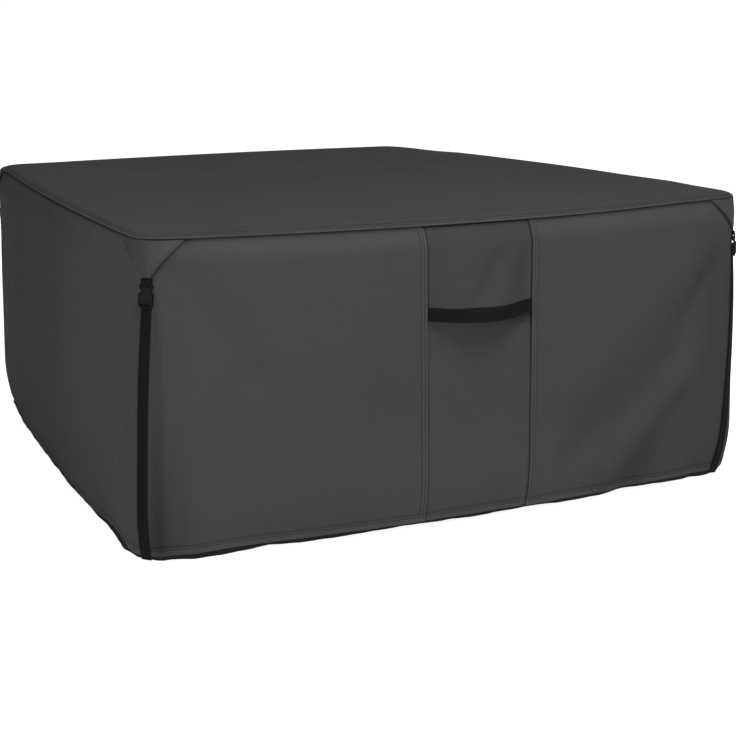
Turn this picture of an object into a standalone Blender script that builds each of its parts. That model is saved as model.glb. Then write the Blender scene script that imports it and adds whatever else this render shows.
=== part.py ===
# A square fitted cover for patio furniture, hanging as it does over a table and its chairs.
# It is sewn from a top, four walls (the front one in three lapped panels), a vent hood with a
# webbing edge, four corner gussets, four buckled corner straps and a black tape inside the hem.
# Units are metres, +Z is up and the front wall faces -Y. The origin is under the middle of the top,
# where the furniture carries the cover.

import math
from collections import namedtuple
from functools import partial

import bmesh
import bpy
import numpy as np
from mathutils import Matrix

# Plan of the cover
HALF_SIZE = 0.815  # half of the 1.63 m (64 in) between the walls at their corners
WALL_BOW = 0.040  # how far the middle of a wall stands out beyond its corners
CORNER_RADIUS = 0.100

# Profile of a wall, measured down from the lip of the top seam
WALL_DROP = 0.718  # lip to hem at the corners, about 28 in
LIP_DEPTH = 0.016  # the lip at the corners, below the underside of the top
SHOULDER_INSET = 0.024  # the lip lies this far inside the wall
SHOULDER_DROP = 0.060
ROLL_WIDTH = 0.026  # the top turns down over this width at its edge
FLARE = 0.013  # the wall hangs outwards by this much at the hem
TUCK = 0.020  # and is drawn in again by this much
TUCK_DROP = 0.130

# Cloth, webbing and seams
CLOTH = 0.0016
SEAM_GAP = 0.0004
LAYER = CLOTH + SEAM_GAP
CORNER_GAP = 0.0003  # between two walls where they meet under a strap
TOP_LAP = 0.012  # the walls reach this far up under the edge of the top
HEM_HEIGHT = 0.023
SEAM_RAISE = 0.0008  # a turned hem or a felled seam stands out by this much
TOP_SEAM_WIDTH = 0.0108

# Centre panel of the front, with its vent hood
PANEL_HALF = 0.139  # half the width between the two lapped seams
PANEL_LAP = 0.016
HOOD_DROP = 0.219
HOOD_DROOP = 0.08  # metres down for each metre that the hood stands out
HOOD_BULGE = 0.052
HOOD_POWER = 1.5  # how late the hood leaves the wall on its way down
HOOD_SEAM_CLEAR = 0.001
VENT_TAPE_HEIGHT = 0.032
PANEL_REACH = PANEL_HALF + PANEL_LAP
HOOD_REACH = PANEL_REACH - 0.002
VENT_TAPE_HALF = PANEL_HALF - 0.0035
VENT_TAPE_ROWS = (HOOD_DROP - VENT_TAPE_HEIGHT, HOOD_DROP - VENT_TAPE_HEIGHT / 2, HOOD_DROP)

# Tape inside the hem
TAPE_UP = 0.012  # above the hem's edge
TAPE_DOWN = 0.010  # below the hem's edge, at the corners
# Below the hem's edge along a wall, as (share of the wall's half-length, depth)
TAPE_WAVES = {
    "front": (
        (-0.93, 0.014), (-0.80, 0.019), (-0.71, 0.014), (-0.66, 0.0105), (-0.56, 0.0145),
        (-0.42, 0.0125), (-0.26, 0.008), (0.00, 0.012), (0.12, 0.010), (0.20, 0.008),
        (0.37, 0.0135), (0.55, 0.008), (0.74, 0.0135), (0.90, 0.016),
    ),
    "right": ((-0.80, 0.017), (-0.40, 0.006), (0.05, 0.011), (0.50, 0.005), (0.80, 0.016)),
    "back": ((-0.75, 0.014), (-0.30, 0.006), (0.20, 0.010), (0.60, 0.005), (0.85, 0.018)),
    "left": ((-0.80, 0.016), (-0.35, 0.006), (0.15, 0.012), (0.55, 0.006), (0.85, 0.018)),
}
TAPE_CURL = 0.45  # metres inwards for each metre below the hem

# Corner gussets and straps
GUSSET_HALF_TOP = 0.106
GUSSET_HALF_TIP = 0.013
GUSSET_START = 0.0006  # just below the lip
GUSSET_DROP = 0.0870
GUSSET_STANDOFF = 0.0018  # inner face of a gusset, from the middle of the wall's cloth
GUSSET_LIFT = 0.0035  # its free sides stand off by this much more
WEB_WIDTH = 0.026
WEB_THICKNESS = 0.0016
WEB_BACK = 0.0013  # inner face of a strap, from the middle of the wall's cloth
BUCKLE_MIDDLE = 0.1265  # below the lip
STRAP_DRIFT = (0.0, -0.060, 0.0, 0.0)  # how far from its corner's diagonal each strap ends at the hem
DRIFT_START = 0.165
DRIFT_POWER = 1.1
DRIFT_STANDOFF = 0.0009  # a strap that leaves the diagonal stands off by this much more
BUCKLE_REACH = 0.0335  # the webbing lies in the buckle's own plane this far above and below its middle

# Each wall: how much more its middle stands out at the lip and at the hem, and how far its lip sags
# and its hem rises there
Side = namedtuple("Side", "name quarter_turns lip_bow hem_bow lip_sag hem_rise")
FRONT = Side("front", 0, 0.028, 0.028, 0.003, 0.003)
RIGHT = Side("right", 1, 0.000, 0.006, 0.003, 0.004)
BACK = Side("back", 2, 0.000, 0.004, 0.001, 0.003)
LEFT = Side("left", 3, -0.014, 0.004, 0.000, 0.003)
SIDES = (FRONT, RIGHT, BACK, LEFT)

# Under each strap the corner is drawn in below the gusset and stands out again towards the hem.
# Corners are counted from the front left one, anticlockwise as seen from above.
CORNER_PULL = 0.035
CORNER_PULL_DROP = 0.090
CORNER_FLARE = 0.030
CORNER_REACH = 0.260
CORNER_SLACK = (1.0, 0.2, 0.5, 0.1)  # share of the two above at each corner

# Soft folds of the walls: a line from (u0, drop0) to (u1, drop1), where u runs along the wall from its
# middle, to the right as seen from outside. A positive height is a ridge and a negative one a trough.
Fold = namedtuple("Fold", "side u0 drop0 u1 drop1 width height")
WALL_FOLDS = (
    Fold("front", -0.735, 0.150, -0.735, 0.690, 0.022, -0.008),
    Fold("front", -0.560, 0.180, -0.560, 0.560, 0.090, 0.004),
    Fold("front", 0.650, 0.090, 0.260, 0.440, 0.055, 0.006),
    Fold("front", 0.715, 0.190, 0.300, 0.540, 0.050, -0.008),
    Fold("front", 0.700, 0.350, 0.360, 0.650, 0.050, 0.007),
    Fold("front", 0.650, 0.510, 0.460, 0.690, 0.042, -0.005),
    Fold("front", 0.735, 0.150, 0.672, 0.690, 0.022, -0.005),
    Fold("left", 0.735, 0.150, 0.735, 0.690, 0.022, -0.002),
    Fold("left", 0.500, 0.150, 0.440, 0.640, 0.150, 0.005),
    Fold("left", 0.080, 0.180, 0.040, 0.660, 0.160, -0.004),
    Fold("left", -0.420, 0.160, -0.380, 0.640, 0.150, 0.004),
    Fold("right", -0.700, 0.160, -0.360, 0.620, 0.090, -0.008),
    Fold("right", 0.120, 0.140, 0.240, 0.660, 0.110, 0.009),
    Fold("right", 0.640, 0.130, 0.430, 0.650, 0.090, -0.008),
    Fold("back", -0.600, 0.140, -0.420, 0.640, 0.100, -0.009),
    Fold("back", -0.120, 0.180, -0.180, 0.640, 0.120, 0.008),
    Fold("back", 0.520, 0.130, 0.360, 0.640, 0.100, -0.008),
)

# Soft folds of the top: a line from (x0, y0) to (x1, y1), and its height
TopFold = namedtuple("TopFold", "x0 y0 x1 y1 width height")
TOP_FOLDS = (
    TopFold(-0.45, 0.42, 0.60, 0.30, 0.140, -0.004),
    TopFold(-0.60, -0.35, 0.30, -0.45, 0.170, 0.003),
    TopFold(0.35, 0.60, 0.62, -0.20, 0.120, -0.003),
)
FAR_CORNER_SLUMP = 0.029
FRONT_CORNER_RISE = 0.006
TOP_DISHING = 0.006  # the top falls by this much from its middle to its edge
TOP_PLANE = -(LAYER - CLOTH / 2)  # puts the underside of the top's middle at z = 0

# Columns of faces along a wall, and rows down it
COLUMNS_CORNER = 4
COLUMNS_PLAIN = 12
COLUMNS_OUTER = 11
COLUMNS_HOOD = 10
TURN = WALL_DROP - HEM_HEIGHT
ROWS_SHOULDER = (-TOP_LAP, 0.0, 0.016, 0.036, 0.060)
ROWS_TUCK = (0.586, 0.628, 0.664, TURN, TURN + 0.001, WALL_DROP)
ROWS = ROWS_SHOULDER + (GUSSET_DROP, 0.110, 0.150, 0.200, 0.285, 0.380, 0.480) + ROWS_TUCK
TOP_RINGS = (0.0, TOP_SEAM_WIDTH, TOP_LAP, 0.021, 0.034, 0.056)  # inwards from the lip
TOP_SCALES = (0.80, 0.55, 0.28)  # rings inside those, as shares of the last


def corner_of_plan():
    """Where the round corner leaves the bowed wall: half-length of the bow, angle there, arc centre."""
    near, far = HALF_SIZE - 2 * CORNER_RADIUS, HALF_SIZE
    for _ in range(60):
        middle = (near + far) / 2
        angle = math.atan(2 * WALL_BOW * middle / HALF_SIZE**2)
        out = HALF_SIZE + WALL_BOW * (1 - (middle / HALF_SIZE) ** 2)
        centre_along = middle - CORNER_RADIUS * math.sin(angle)
        centre_out = out - CORNER_RADIUS * math.cos(angle)
        if centre_along < centre_out:
            near = middle
        else:
            far = middle
    return middle, angle, centre_along


BOW_HALF, BOW_END_ANGLE, ARC_CENTRE = corner_of_plan()
WALL_HALF = BOW_HALF + CORNER_RADIUS * (math.pi / 4 - BOW_END_ANGLE)  # to the corner's diagonal


def wall_plan(u):
    """Along, out and the outward normal of the wall's plan, for u measured from the wall's middle."""
    on_bow = np.abs(u) <= BOW_HALF
    slope = 2 * WALL_BOW * u / HALF_SIZE**2
    length = np.sqrt(1 + slope**2)
    turned = BOW_END_ANGLE + (np.abs(u) - BOW_HALF) / CORNER_RADIUS
    way = np.sign(u)
    along = np.where(on_bow, u, way * (ARC_CENTRE + CORNER_RADIUS * np.sin(turned)))
    bow_out = HALF_SIZE + WALL_BOW * (1 - (u / HALF_SIZE) ** 2)
    out = np.where(on_bow, bow_out, ARC_CENTRE + CORNER_RADIUS * np.cos(turned))
    normal_along = np.where(on_bow, slope / length, way * np.sin(turned))
    normal_out = np.where(on_bow, 1 / length, np.cos(turned))
    return along, out, normal_along, normal_out


def smooth_step(x, low, high):
    t = np.clip((x - low) / (high - low), 0.0, 1.0)
    return t * t * (3 - 2 * t)


def line_mound(x, y, x0, y0, x1, y1, width):
    """A rounded mound of height 1 along the line from (x0, y0) to (x1, y1)."""
    run, rise = x1 - x0, y1 - y0
    share = np.clip(((x - x0) * run + (y - y0) * rise) / (run**2 + rise**2), 0.0, 1.0)
    distance = np.hypot(x - x0 - share * run, y - y0 - share * rise)
    return np.exp(-((distance / width) ** 2))


def strap_shift(corner, drop):
    """How far a strap's middle lies from its corner's diagonal, to the right outside, and its slope."""
    run = WALL_DROP - DRIFT_START
    share = np.clip((drop - DRIFT_START) / run, 0.0, None)
    slope = STRAP_DRIFT[corner] * DRIFT_POWER * share ** (DRIFT_POWER - 1) / run
    return STRAP_DRIFT[corner] * share**DRIFT_POWER, slope


def wall_relief(side, u, drop):
    """Outward height of the wall's folds. The top seam and the corner straps hold the cloth still."""
    drop = np.minimum(drop, TURN)
    quarter = SIDES.index(side)
    at_left = np.maximum(strap_shift(quarter, drop)[0], 0.0)
    at_right = np.maximum(-strap_shift((quarter + 1) % 4, drop)[0], 0.0)
    held = WALL_HALF - np.where(u < 0, at_left, at_right)
    total = np.zeros(np.broadcast(u, drop).shape)
    for fold in WALL_FOLDS:
        if fold.side == side.name:
            line = (fold.u0, fold.drop0, fold.u1, fold.drop1)
            total = total + fold.height * line_mound(u, drop, *line, fold.width)
    by_corner = smooth_step(np.abs(u), held - 0.045, held - 0.018)
    return total * smooth_step(drop, 0.0, 0.080) * (1 - by_corner)


def corner_relief(side, u, drop):
    """Outward height of the corners: drawn in below the gusset, and out again towards the hem."""
    quarter = SIDES.index(side)
    slack = np.where(u < 0, CORNER_SLACK[quarter], CORNER_SLACK[(quarter + 1) % 4])
    near = 1 - smooth_step(WALL_HALF - np.abs(u), 0.012, CORNER_REACH)
    pull = drop / CORNER_PULL_DROP * np.exp(1 - drop / CORNER_PULL_DROP)
    return slack * near * (CORNER_FLARE * (drop / WALL_DROP) ** 2 - CORNER_PULL * pull)


def top_slump(x, y):
    """The top hangs lower towards the far right corner and a little higher at the front right one."""
    far = smooth_step(x, 0.50, 0.80) * np.clip((y + 0.50) / 1.30, 0.0, 1.0)
    front = smooth_step(x, 0.20, 0.80) * smooth_step(-y, 0.20, 0.80)
    return FRONT_CORNER_RISE * front - FAR_CORNER_SLUMP * far


def top_height(x, y):
    """Height of the flat of the top, with its dishing, its slump and its soft folds."""
    total = TOP_PLANE - TOP_DISHING * (x**2 + y**2) / (2 * HALF_SIZE**2) + top_slump(x, y)
    for fold in TOP_FOLDS:
        line = (fold.x0, fold.y0, fold.x1, fold.y1)
        middle = line_mound(0.0, 0.0, *line, fold.width)
        total = total + fold.height * (line_mound(x, y, *line, fold.width) - middle)
    return total


def skin(side, u, drop):
    """Middle surface of the cover's outer cloth. A negative drop is inwards from the lip, over the top."""
    u, drop = np.broadcast_arrays(np.asarray(u, float), np.asarray(drop, float))
    along, out, normal_along, normal_out = wall_plan(u)
    below = np.clip(drop, 0.0, None)
    shoulder = SHOULDER_INSET * np.clip(1 - below / SHOULDER_DROP, 0.0, 1.0) ** 2
    tuck = TUCK * np.clip((below - WALL_DROP + TUCK_DROP) / TUCK_DROP, 0.0, 1.0) ** 2
    curl = TAPE_CURL * np.clip(drop - WALL_DROP, 0.0, None)
    middle = 1 - (u / WALL_HALF) ** 2
    bow = side.lip_bow + (side.hem_bow - side.lip_bow) * below / WALL_DROP
    offset = FLARE * below / WALL_DROP - shoulder - tuck - curl + bow * middle
    offset = offset + wall_relief(side, u, below) + corner_relief(side, u, below)
    offset = offset + np.clip(drop, None, 0.0)
    along = along + normal_along * offset
    out = out + normal_out * offset
    turn = side.quarter_turns * math.pi / 2
    x = along * math.cos(turn) + out * math.sin(turn)
    y = along * math.sin(turn) - out * math.cos(turn)
    lip = -LIP_DEPTH - side.lip_sag * middle + top_slump(x, y)
    hem = -LIP_DEPTH - WALL_DROP + side.hem_rise * middle
    roll = 1 - np.clip(1 + drop / ROLL_WIDTH, 0.0, 1.0) ** 2
    over_top = lip + (top_height(x, y) - lip) * roll
    z = np.where(drop < 0, over_top, lip + (hem - lip) * drop / WALL_DROP)
    return np.stack([x, y, z], axis=-1)


def corner_skin(corner, across, drop):
    """The same surface round a corner: across is 0 on its diagonal and grows to the right outside."""
    across, drop = np.broadcast_arrays(np.asarray(across, float), np.asarray(drop, float))
    right_hand, left_hand = SIDES[corner], SIDES[corner - 1]
    on_right = skin(right_hand, np.maximum(across, 0.0) - WALL_HALF, drop)
    on_left = skin(left_hand, WALL_HALF + np.minimum(across, 0.0), drop)
    return np.where((across >= 0)[..., None], on_right, on_left)


def normals(surface, u, drop):
    """Outward unit normals of a surface, from its slopes along u and down."""
    step = 1e-4
    along = surface(u + step, drop) - surface(u - step, drop)
    down = surface(u, drop + step) - surface(u, drop - step)
    normal = np.cross(down, along)
    return normal / np.linalg.norm(normal, axis=-1, keepdims=True)


def add_object(name, vertices, faces, material):
    """A mesh object whose faces point outwards."""
    mesh = bpy.data.meshes.new(name)
    mesh.from_pydata([tuple(v) for v in vertices], [], [tuple(f) for f in faces])
    shell = bmesh.new()
    shell.from_mesh(mesh)
    bmesh.ops.recalc_face_normals(shell, faces=shell.faces)
    if shell.calc_volume(signed=True) < 0:
        bmesh.ops.reverse_faces(shell, faces=shell.faces)
    shell.to_mesh(mesh)
    shell.free()
    mesh.shade_smooth()
    mesh.set_sharp_from_angle(angle=math.radians(40))
    mesh.materials.append(material)
    thing = bpy.data.objects.new(name, mesh)
    bpy.context.scene.collection.objects.link(thing)
    return thing


def slab(name, outer, inner, material):
    """A closed sheet between two grids of points, given as arrays of columns by rows by 3."""
    columns, rows = outer.shape[:2]
    inside = columns * rows

    def at(i, j):
        return i * rows + j

    faces = []
    for i in range(columns - 1):
        for j in range(rows - 1):
            near, far = (at(i, j), at(i + 1, j)), (at(i + 1, j + 1), at(i, j + 1))
            for triangle in ((near[0], near[1], far[0]), (near[0], far[0], far[1])):
                faces.append(triangle)
                faces.append(tuple(inside + v for v in reversed(triangle)))
    rim = [at(i, 0) for i in range(columns)]
    rim += [at(columns - 1, j) for j in range(1, rows)]
    rim += [at(i, rows - 1) for i in range(columns - 2, -1, -1)]
    rim += [at(0, j) for j in range(rows - 2, 0, -1)]
    for a, b in zip(rim, rim[1:] + rim[:1]):
        faces.append((b, a, inside + a, inside + b))
    vertices = np.concatenate([outer.reshape(-1, 3), inner.reshape(-1, 3)])
    return add_object(name, vertices, faces, material)


def sheet(name, surface, columns, rows, lift, material, thickness=CLOTH, hem=None):
    """A sheet of cloth, lifted off a surface along its normals. hem is the raise of its outer face."""
    u, drop = np.meshgrid(np.asarray(columns, float), np.asarray(rows, float), indexing="ij")
    base, normal = surface(u, drop), normals(surface, u, drop)
    middle = lift(u, drop) if callable(lift) else np.full(u.shape, lift)
    outer = middle + thickness / 2 + (0.0 if hem is None else hem(u, drop))
    inner = middle - thickness / 2
    return slab(name, base + normal * outer[..., None], base + normal * inner[..., None], material)


def hem_raise(u, drop):
    """The turned hem of a wall."""
    return (drop > TURN + 0.0005) * SEAM_RAISE + 0 * u


def outer_raise(u, drop):
    """The turned hem of an outer front panel, and its felled seam."""
    felled = (np.abs(u) < HOOD_REACH + 1e-6) * (drop > 0.010) * SEAM_RAISE
    return np.maximum(hem_raise(u, drop), felled)


def centre_raise(u, drop):
    """The turned hem of the centre panel, which stops where the outer panels lap over it."""
    return hem_raise(u, drop) * (np.abs(u) < PANEL_HALF - HOOD_SEAM_CLEAR / 2)


def wall_columns(side):
    """Column positions along a wall, close together round the corners. All its pieces share them."""
    arc = np.linspace(BOW_HALF, WALL_HALF - CORNER_GAP / 2, COLUMNS_CORNER + 1)
    if side is not FRONT:
        bow = np.linspace(-BOW_HALF, BOW_HALF, COLUMNS_PLAIN + 1)[1:-1]
        return np.concatenate([-arc[::-1], bow, arc])
    hood_half = PANEL_HALF - HOOD_SEAM_CLEAR
    seam = [VENT_TAPE_HALF, hood_half, PANEL_HALF, HOOD_REACH, PANEL_REACH, PANEL_REACH + 0.003]
    outer = np.linspace(PANEL_REACH + 0.003, BOW_HALF, COLUMNS_OUTER + 1)[1:-1]
    half = np.concatenate([seam, outer, arc])
    inner = np.linspace(-VENT_TAPE_HALF, VENT_TAPE_HALF, COLUMNS_HOOD + 1)[1:-1]
    return np.concatenate([-half[::-1], inner, half])


def between(columns, start, end):
    return columns[(columns > start - 1e-6) & (columns < end + 1e-6)]


def plain_wall(side, material):
    columns = wall_columns(side)
    sheet(f"{side.name}_wall", partial(skin, side), columns, ROWS, 0.0, material, hem=hem_raise)


def front_surface(u, drop):
    return skin(FRONT, u, drop)


def front_walls(material):
    """The two outer panels of the front, whose inner edges lap over the centre panel."""
    spans = {"front_left_panel": (-WALL_HALF, -PANEL_HALF), "front_right_panel": (PANEL_HALF, WALL_HALF)}
    for name, (start, end) in spans.items():
        columns = between(wall_columns(FRONT), start, end)
        sheet(name, front_surface, columns, ROWS, 0.0, material, hem=outer_raise)


def centre_lift(u, drop):
    """The centre panel lies two layers in behind the hood, and one layer in below it."""
    return -LAYER * (2 - smooth_step(drop, HOOD_DROP + 0.052, HOOD_DROP + 0.150)) + 0 * u


def centre_panel(material):
    columns = between(wall_columns(FRONT), -PANEL_REACH, PANEL_REACH)
    sheet("front_centre_panel", front_surface, columns, ROWS, centre_lift, material, hem=centre_raise)


def hood_surface(u, drop):
    """The front wall, swelling out between the two lapped seams towards the hood's mouth."""
    base = front_surface(u, drop)
    half = PANEL_HALF - HOOD_SEAM_CLEAR
    across = np.clip(1 - (u / half) ** 2, 0.0, None)
    bulge = HOOD_BULGE * across * np.clip(drop / HOOD_DROP, 0.0, None) ** HOOD_POWER
    outwards = np.array([0.0, -1.0, -HOOD_DROOP])
    return base + bulge[..., None] * outwards


def vent_hood(material):
    columns = between(wall_columns(FRONT), -HOOD_REACH, HOOD_REACH)
    rows = ROWS_SHOULDER + (0.095, 0.130, 0.165) + VENT_TAPE_ROWS
    sheet("vent_hood", hood_surface, columns, rows, -LAYER, material)


def vent_tape(material):
    """Webbing sewn over the lower edge of the hood."""
    columns = between(wall_columns(FRONT), -VENT_TAPE_HALF, VENT_TAPE_HALF)
    sheet("vent_tape", hood_surface, columns, VENT_TAPE_ROWS, 0.0, material, thickness=WEB_THICKNESS)


def top_panel(material):
    """The top, as rings of points from its lip to its middle, over all four walls' upper edges."""

    def ring(inwards, lift):
        loops = []
        for side in SIDES:
            columns = wall_columns(side)
            drop = np.full(columns.shape, -inwards)
            surface = partial(skin, side)
            inside = np.minimum(drop, -2e-4)
            loops.append(surface(columns, drop) + lift * normals(surface, columns, inside))
        return np.concatenate(loops)

    def inner_ring(scale, lift):
        points = ring(TOP_RINGS[-1], 0.0) * (scale, scale, 1.0)
        points[:, 2] = top_height(points[:, 0], points[:, 1]) + lift
        return points

    lifts = (LAYER + CLOTH / 2, LAYER - CLOTH / 2)
    layers = []
    for lift in lifts:
        rings = []
        for inwards in TOP_RINGS:
            felled = SEAM_RAISE * float(lift == lifts[0] and inwards <= TOP_SEAM_WIDTH)
            rings.append(ring(inwards, lift + felled))
        rings += [inner_ring(scale, lift) for scale in TOP_SCALES]
        layers.append(rings)
    count, depth = len(layers[0][0]), len(layers[0])
    vertices = np.concatenate([np.concatenate(rings) for rings in layers])
    middle = [(0.0, 0.0, TOP_PLANE + lift) for lift in lifts]
    vertices = np.concatenate([vertices, middle])

    def at(layer, k, i):
        return (layer * depth + k) * count + i % count

    faces = []
    for i in range(count):
        for k in range(depth - 1):
            for layer in (0, 1):
                low = (at(layer, k, i), at(layer, k, i + 1))
                high = (at(layer, k + 1, i), at(layer, k + 1, i + 1))
                pair = ((low[0], low[1], high[0]), (low[1], high[1], high[0]))
                faces.extend(pair if layer == 0 else [triangle[::-1] for triangle in pair])
        faces.append((at(0, depth - 1, i), at(0, depth - 1, i + 1), len(vertices) - 2))
        faces.append((at(1, depth - 1, i + 1), at(1, depth - 1, i), len(vertices) - 1))
        faces.append((at(0, 0, i + 1), at(0, 0, i), at(1, 0, i), at(1, 0, i + 1)))
    add_object("top_panel", vertices, faces, material)


def hem_tape(side, material):
    """Black tape sewn inside the hem. Its lower edge shows below the hem and curls inwards."""

    def lift(u, share):
        behind_panel = 1 - smooth_step(np.abs(u), PANEL_REACH + 0.003, PANEL_REACH + 0.090)
        return -LAYER - LAYER * behind_panel * (side is FRONT) + 0 * share

    def surface(u, share):
        """share runs from 0 at the tape's upper edge to 1 at its lower one."""
        shares, depths = zip((-1.0, TAPE_DOWN), *TAPE_WAVES[side.name], (1.0, TAPE_DOWN))
        down = np.interp(u / WALL_HALF, shares, depths)
        start = WALL_DROP - TAPE_UP
        return skin(side, u, start + share * (TAPE_UP + down))

    name, columns, rows = f"{side.name}_hem_tape", wall_columns(side), (0.0, 0.5, 1.0)
    sheet(name, surface, columns, rows, lift, material, thickness=WEB_THICKNESS)


def gusset(corner, material):
    """A tapering flap over a corner, sewn in under the lip and narrowing to the strap's width."""

    def surface(share, drop):
        reach = (drop - GUSSET_START) / (GUSSET_DROP - GUSSET_START)
        half = GUSSET_HALF_TOP + (GUSSET_HALF_TIP - GUSSET_HALF_TOP) * reach
        return corner_skin(corner, share * half, drop)

    def lift(share, drop):
        free = GUSSET_LIFT * np.abs(share) ** 3 * np.sin(np.pi * np.clip(drop / GUSSET_DROP, 0.0, 1.0))
        return GUSSET_STANDOFF + CLOTH / 2 + free

    rows = (GUSSET_START, *ROWS_SHOULDER[2:], GUSSET_DROP)
    sheet(f"gusset_{corner + 1}", surface, np.linspace(-1, 1, 11), rows, lift, material)


def buckle_frame(corner):
    """The axes of a corner's buckle (across, up and out) and its middle, over the line of the cloth."""
    angle = corner * math.pi / 2 - 3 * math.pi / 4
    out = np.array([math.cos(angle), math.sin(angle), 0.0])
    above = corner_skin(corner, 0.0, BUCKLE_MIDDLE - BUCKLE_REACH)
    below = corner_skin(corner, 0.0, BUCKLE_MIDDLE + BUCKLE_REACH)
    up = (above - below) / np.linalg.norm(above - below)
    across = np.cross(up, out)
    across /= np.linalg.norm(across)
    return across, up, np.cross(across, up), (above + below) / 2


def web_strip(name, corner, path, material):
    """Webbing that follows a path of (drop, lift) points near a corner's diagonal."""
    path = np.asarray(path, float)
    tangent = np.gradient(path, axis=0)
    tangent /= np.linalg.norm(tangent, axis=1, keepdims=True)
    normal = np.stack([-tangent[:, 1], tangent[:, 0]], axis=1) * WEB_THICKNESS / 2
    across, up, out, centre = buckle_frame(corner)
    level_out = np.array([out[0], out[1], 0.0]) / math.hypot(out[0], out[1])

    def edge(points):
        drop, lift = points[:, :1], points[:, 1:]
        shift, slope = strap_shift(corner, drop)
        turned = shift / CORNER_RADIUS
        away = level_out * np.cos(turned) + across * np.sin(turned)
        standoff = DRIFT_STANDOFF * smooth_step(np.abs(shift), 0.0, 0.004)
        on_cloth = corner_skin(corner, shift[:, 0], points[:, 0]) + (lift + standoff) * away
        by_buckle = centre + (BUCKLE_MIDDLE - drop) * up + lift * out
        middle = np.where(np.abs(drop - BUCKLE_MIDDLE) < BUCKLE_REACH, by_buckle, on_cloth)
        wide = across * np.cos(turned) - level_out * np.sin(turned) + slope * up
        wide = wide / np.linalg.norm(wide, axis=1, keepdims=True) * WEB_WIDTH / 2
        return np.stack([middle - wide, middle + wide])

    slab(name, edge(path + normal), edge(path - normal), material)


def hook(bar_drop, bar_low, bar_high, way):
    """Path of webbing round a buckle's bar, from behind it to its front; way is -1 to come from below."""
    clear = BAR_CLEAR + WEB_THICKNESS / 2
    radius = (bar_high - bar_low) / 2 + clear
    middle = (bar_high + bar_low) / 2
    turns = np.linspace(0.0, math.pi, 8)
    return [(bar_drop + way * radius * math.sin(a), middle - radius * math.cos(a)) for a in turns]


BAR_LOW, BAR_HIGH = 0.0036, 0.0062  # lift of a buckle's bars
BAR_HALF = 0.0011
BAR_CLEAR = 0.0006
MALE_BAR = BUCKLE_MIDDLE - 0.0235
FEMALE_BAR = BUCKLE_MIDDLE + 0.0225


def corner_straps(corner, material):
    """The doubled web above the buckle and the long strap below it, which ends over the hem."""
    back = WEB_BACK + WEB_THICKNESS / 2
    top = GUSSET_DROP + 0.0007
    looped = hook(MALE_BAR, BAR_LOW, BAR_HIGH, 1)
    front = looped[-1][1]
    upper = [(top, back + 0.0004), (MALE_BAR - 0.006, back + 0.0004)]
    upper += looped
    upper += [(MALE_BAR - 0.006, front - 0.0004), (top, back + LAYER + 0.0010)]
    web_strip(f"strap_loop_{corner + 1}", corner, upper, material)
    end = WALL_DROP + TAPE_DOWN
    down = [end, *[row for row in ROWS[::-1] if row > BUCKLE_MIDDLE + 0.05]]
    lower = [(drop, back + SEAM_RAISE * float(drop > TURN - 0.02)) for drop in down]
    lower += [(0.165, back + 0.0004), (FEMALE_BAR + 0.007, back + 0.0004)]
    lower += hook(FEMALE_BAR, BAR_LOW, BAR_HIGH, -1)
    lower += [(FEMALE_BAR + 0.005, front + 0.0004)]
    web_strip(f"strap_{corner + 1}", corner, lower, material)


def outline_block(name, outline, low, high):
    """An outline in the buckle's own plane, extruded from low to high."""
    shape = bmesh.new()
    face = shape.faces.new([shape.verts.new((x, y, low)) for x, y in outline])
    grown = bmesh.ops.extrude_face_region(shape, geom=[face])
    moved = [v for v in grown["geom"] if isinstance(v, bmesh.types.BMVert)]
    bmesh.ops.translate(shape, verts=moved, vec=(0.0, 0.0, high - low))
    bmesh.ops.recalc_face_normals(shape, faces=shape.faces)
    mesh = bpy.data.meshes.new(name)
    shape.to_mesh(mesh)
    shape.free()
    thing = bpy.data.objects.new(name, mesh)
    bpy.context.scene.collection.objects.link(thing)
    return thing


def rectangle(half_width, low, high):
    return [(-half_width, low), (half_width, low), (half_width, high), (-half_width, high)]


def mirrored(right_side):
    """A closed outline from the points of its right half, listed from top to bottom."""
    return right_side + [(-x, y) for x, y in reversed(right_side)]


def cut_mesh(body, cuts, joins=()):
    """The body's mesh once its holes are cut and its other blocks are joined on."""
    for operation, others in (("UNION", joins), ("DIFFERENCE", cuts)):
        for other in others:
            modifier = body.modifiers.new(operation.lower(), "BOOLEAN")
            modifier.operation = operation
            modifier.object = other
    graph = bpy.context.evaluated_depsgraph_get()
    mesh = bpy.data.meshes.new_from_object(body.evaluated_get(graph))
    mesh.name = body.name
    for thing in (body, *joins, *cuts):
        bpy.data.objects.remove(thing)
    return mesh


WEB_SLOT = WEB_WIDTH / 2 + 0.0007  # half-width of a slot that webbing passes through
SLOT_TALL = 0.0036
BODY_LOW, BODY_HIGH = 0.0030, 0.0112  # the female half, from back to front
PLATE_LOW, PLATE_HIGH = 0.0052, 0.0088  # the male half's stem and prongs
CAVITY_CLEAR = 0.0004


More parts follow.
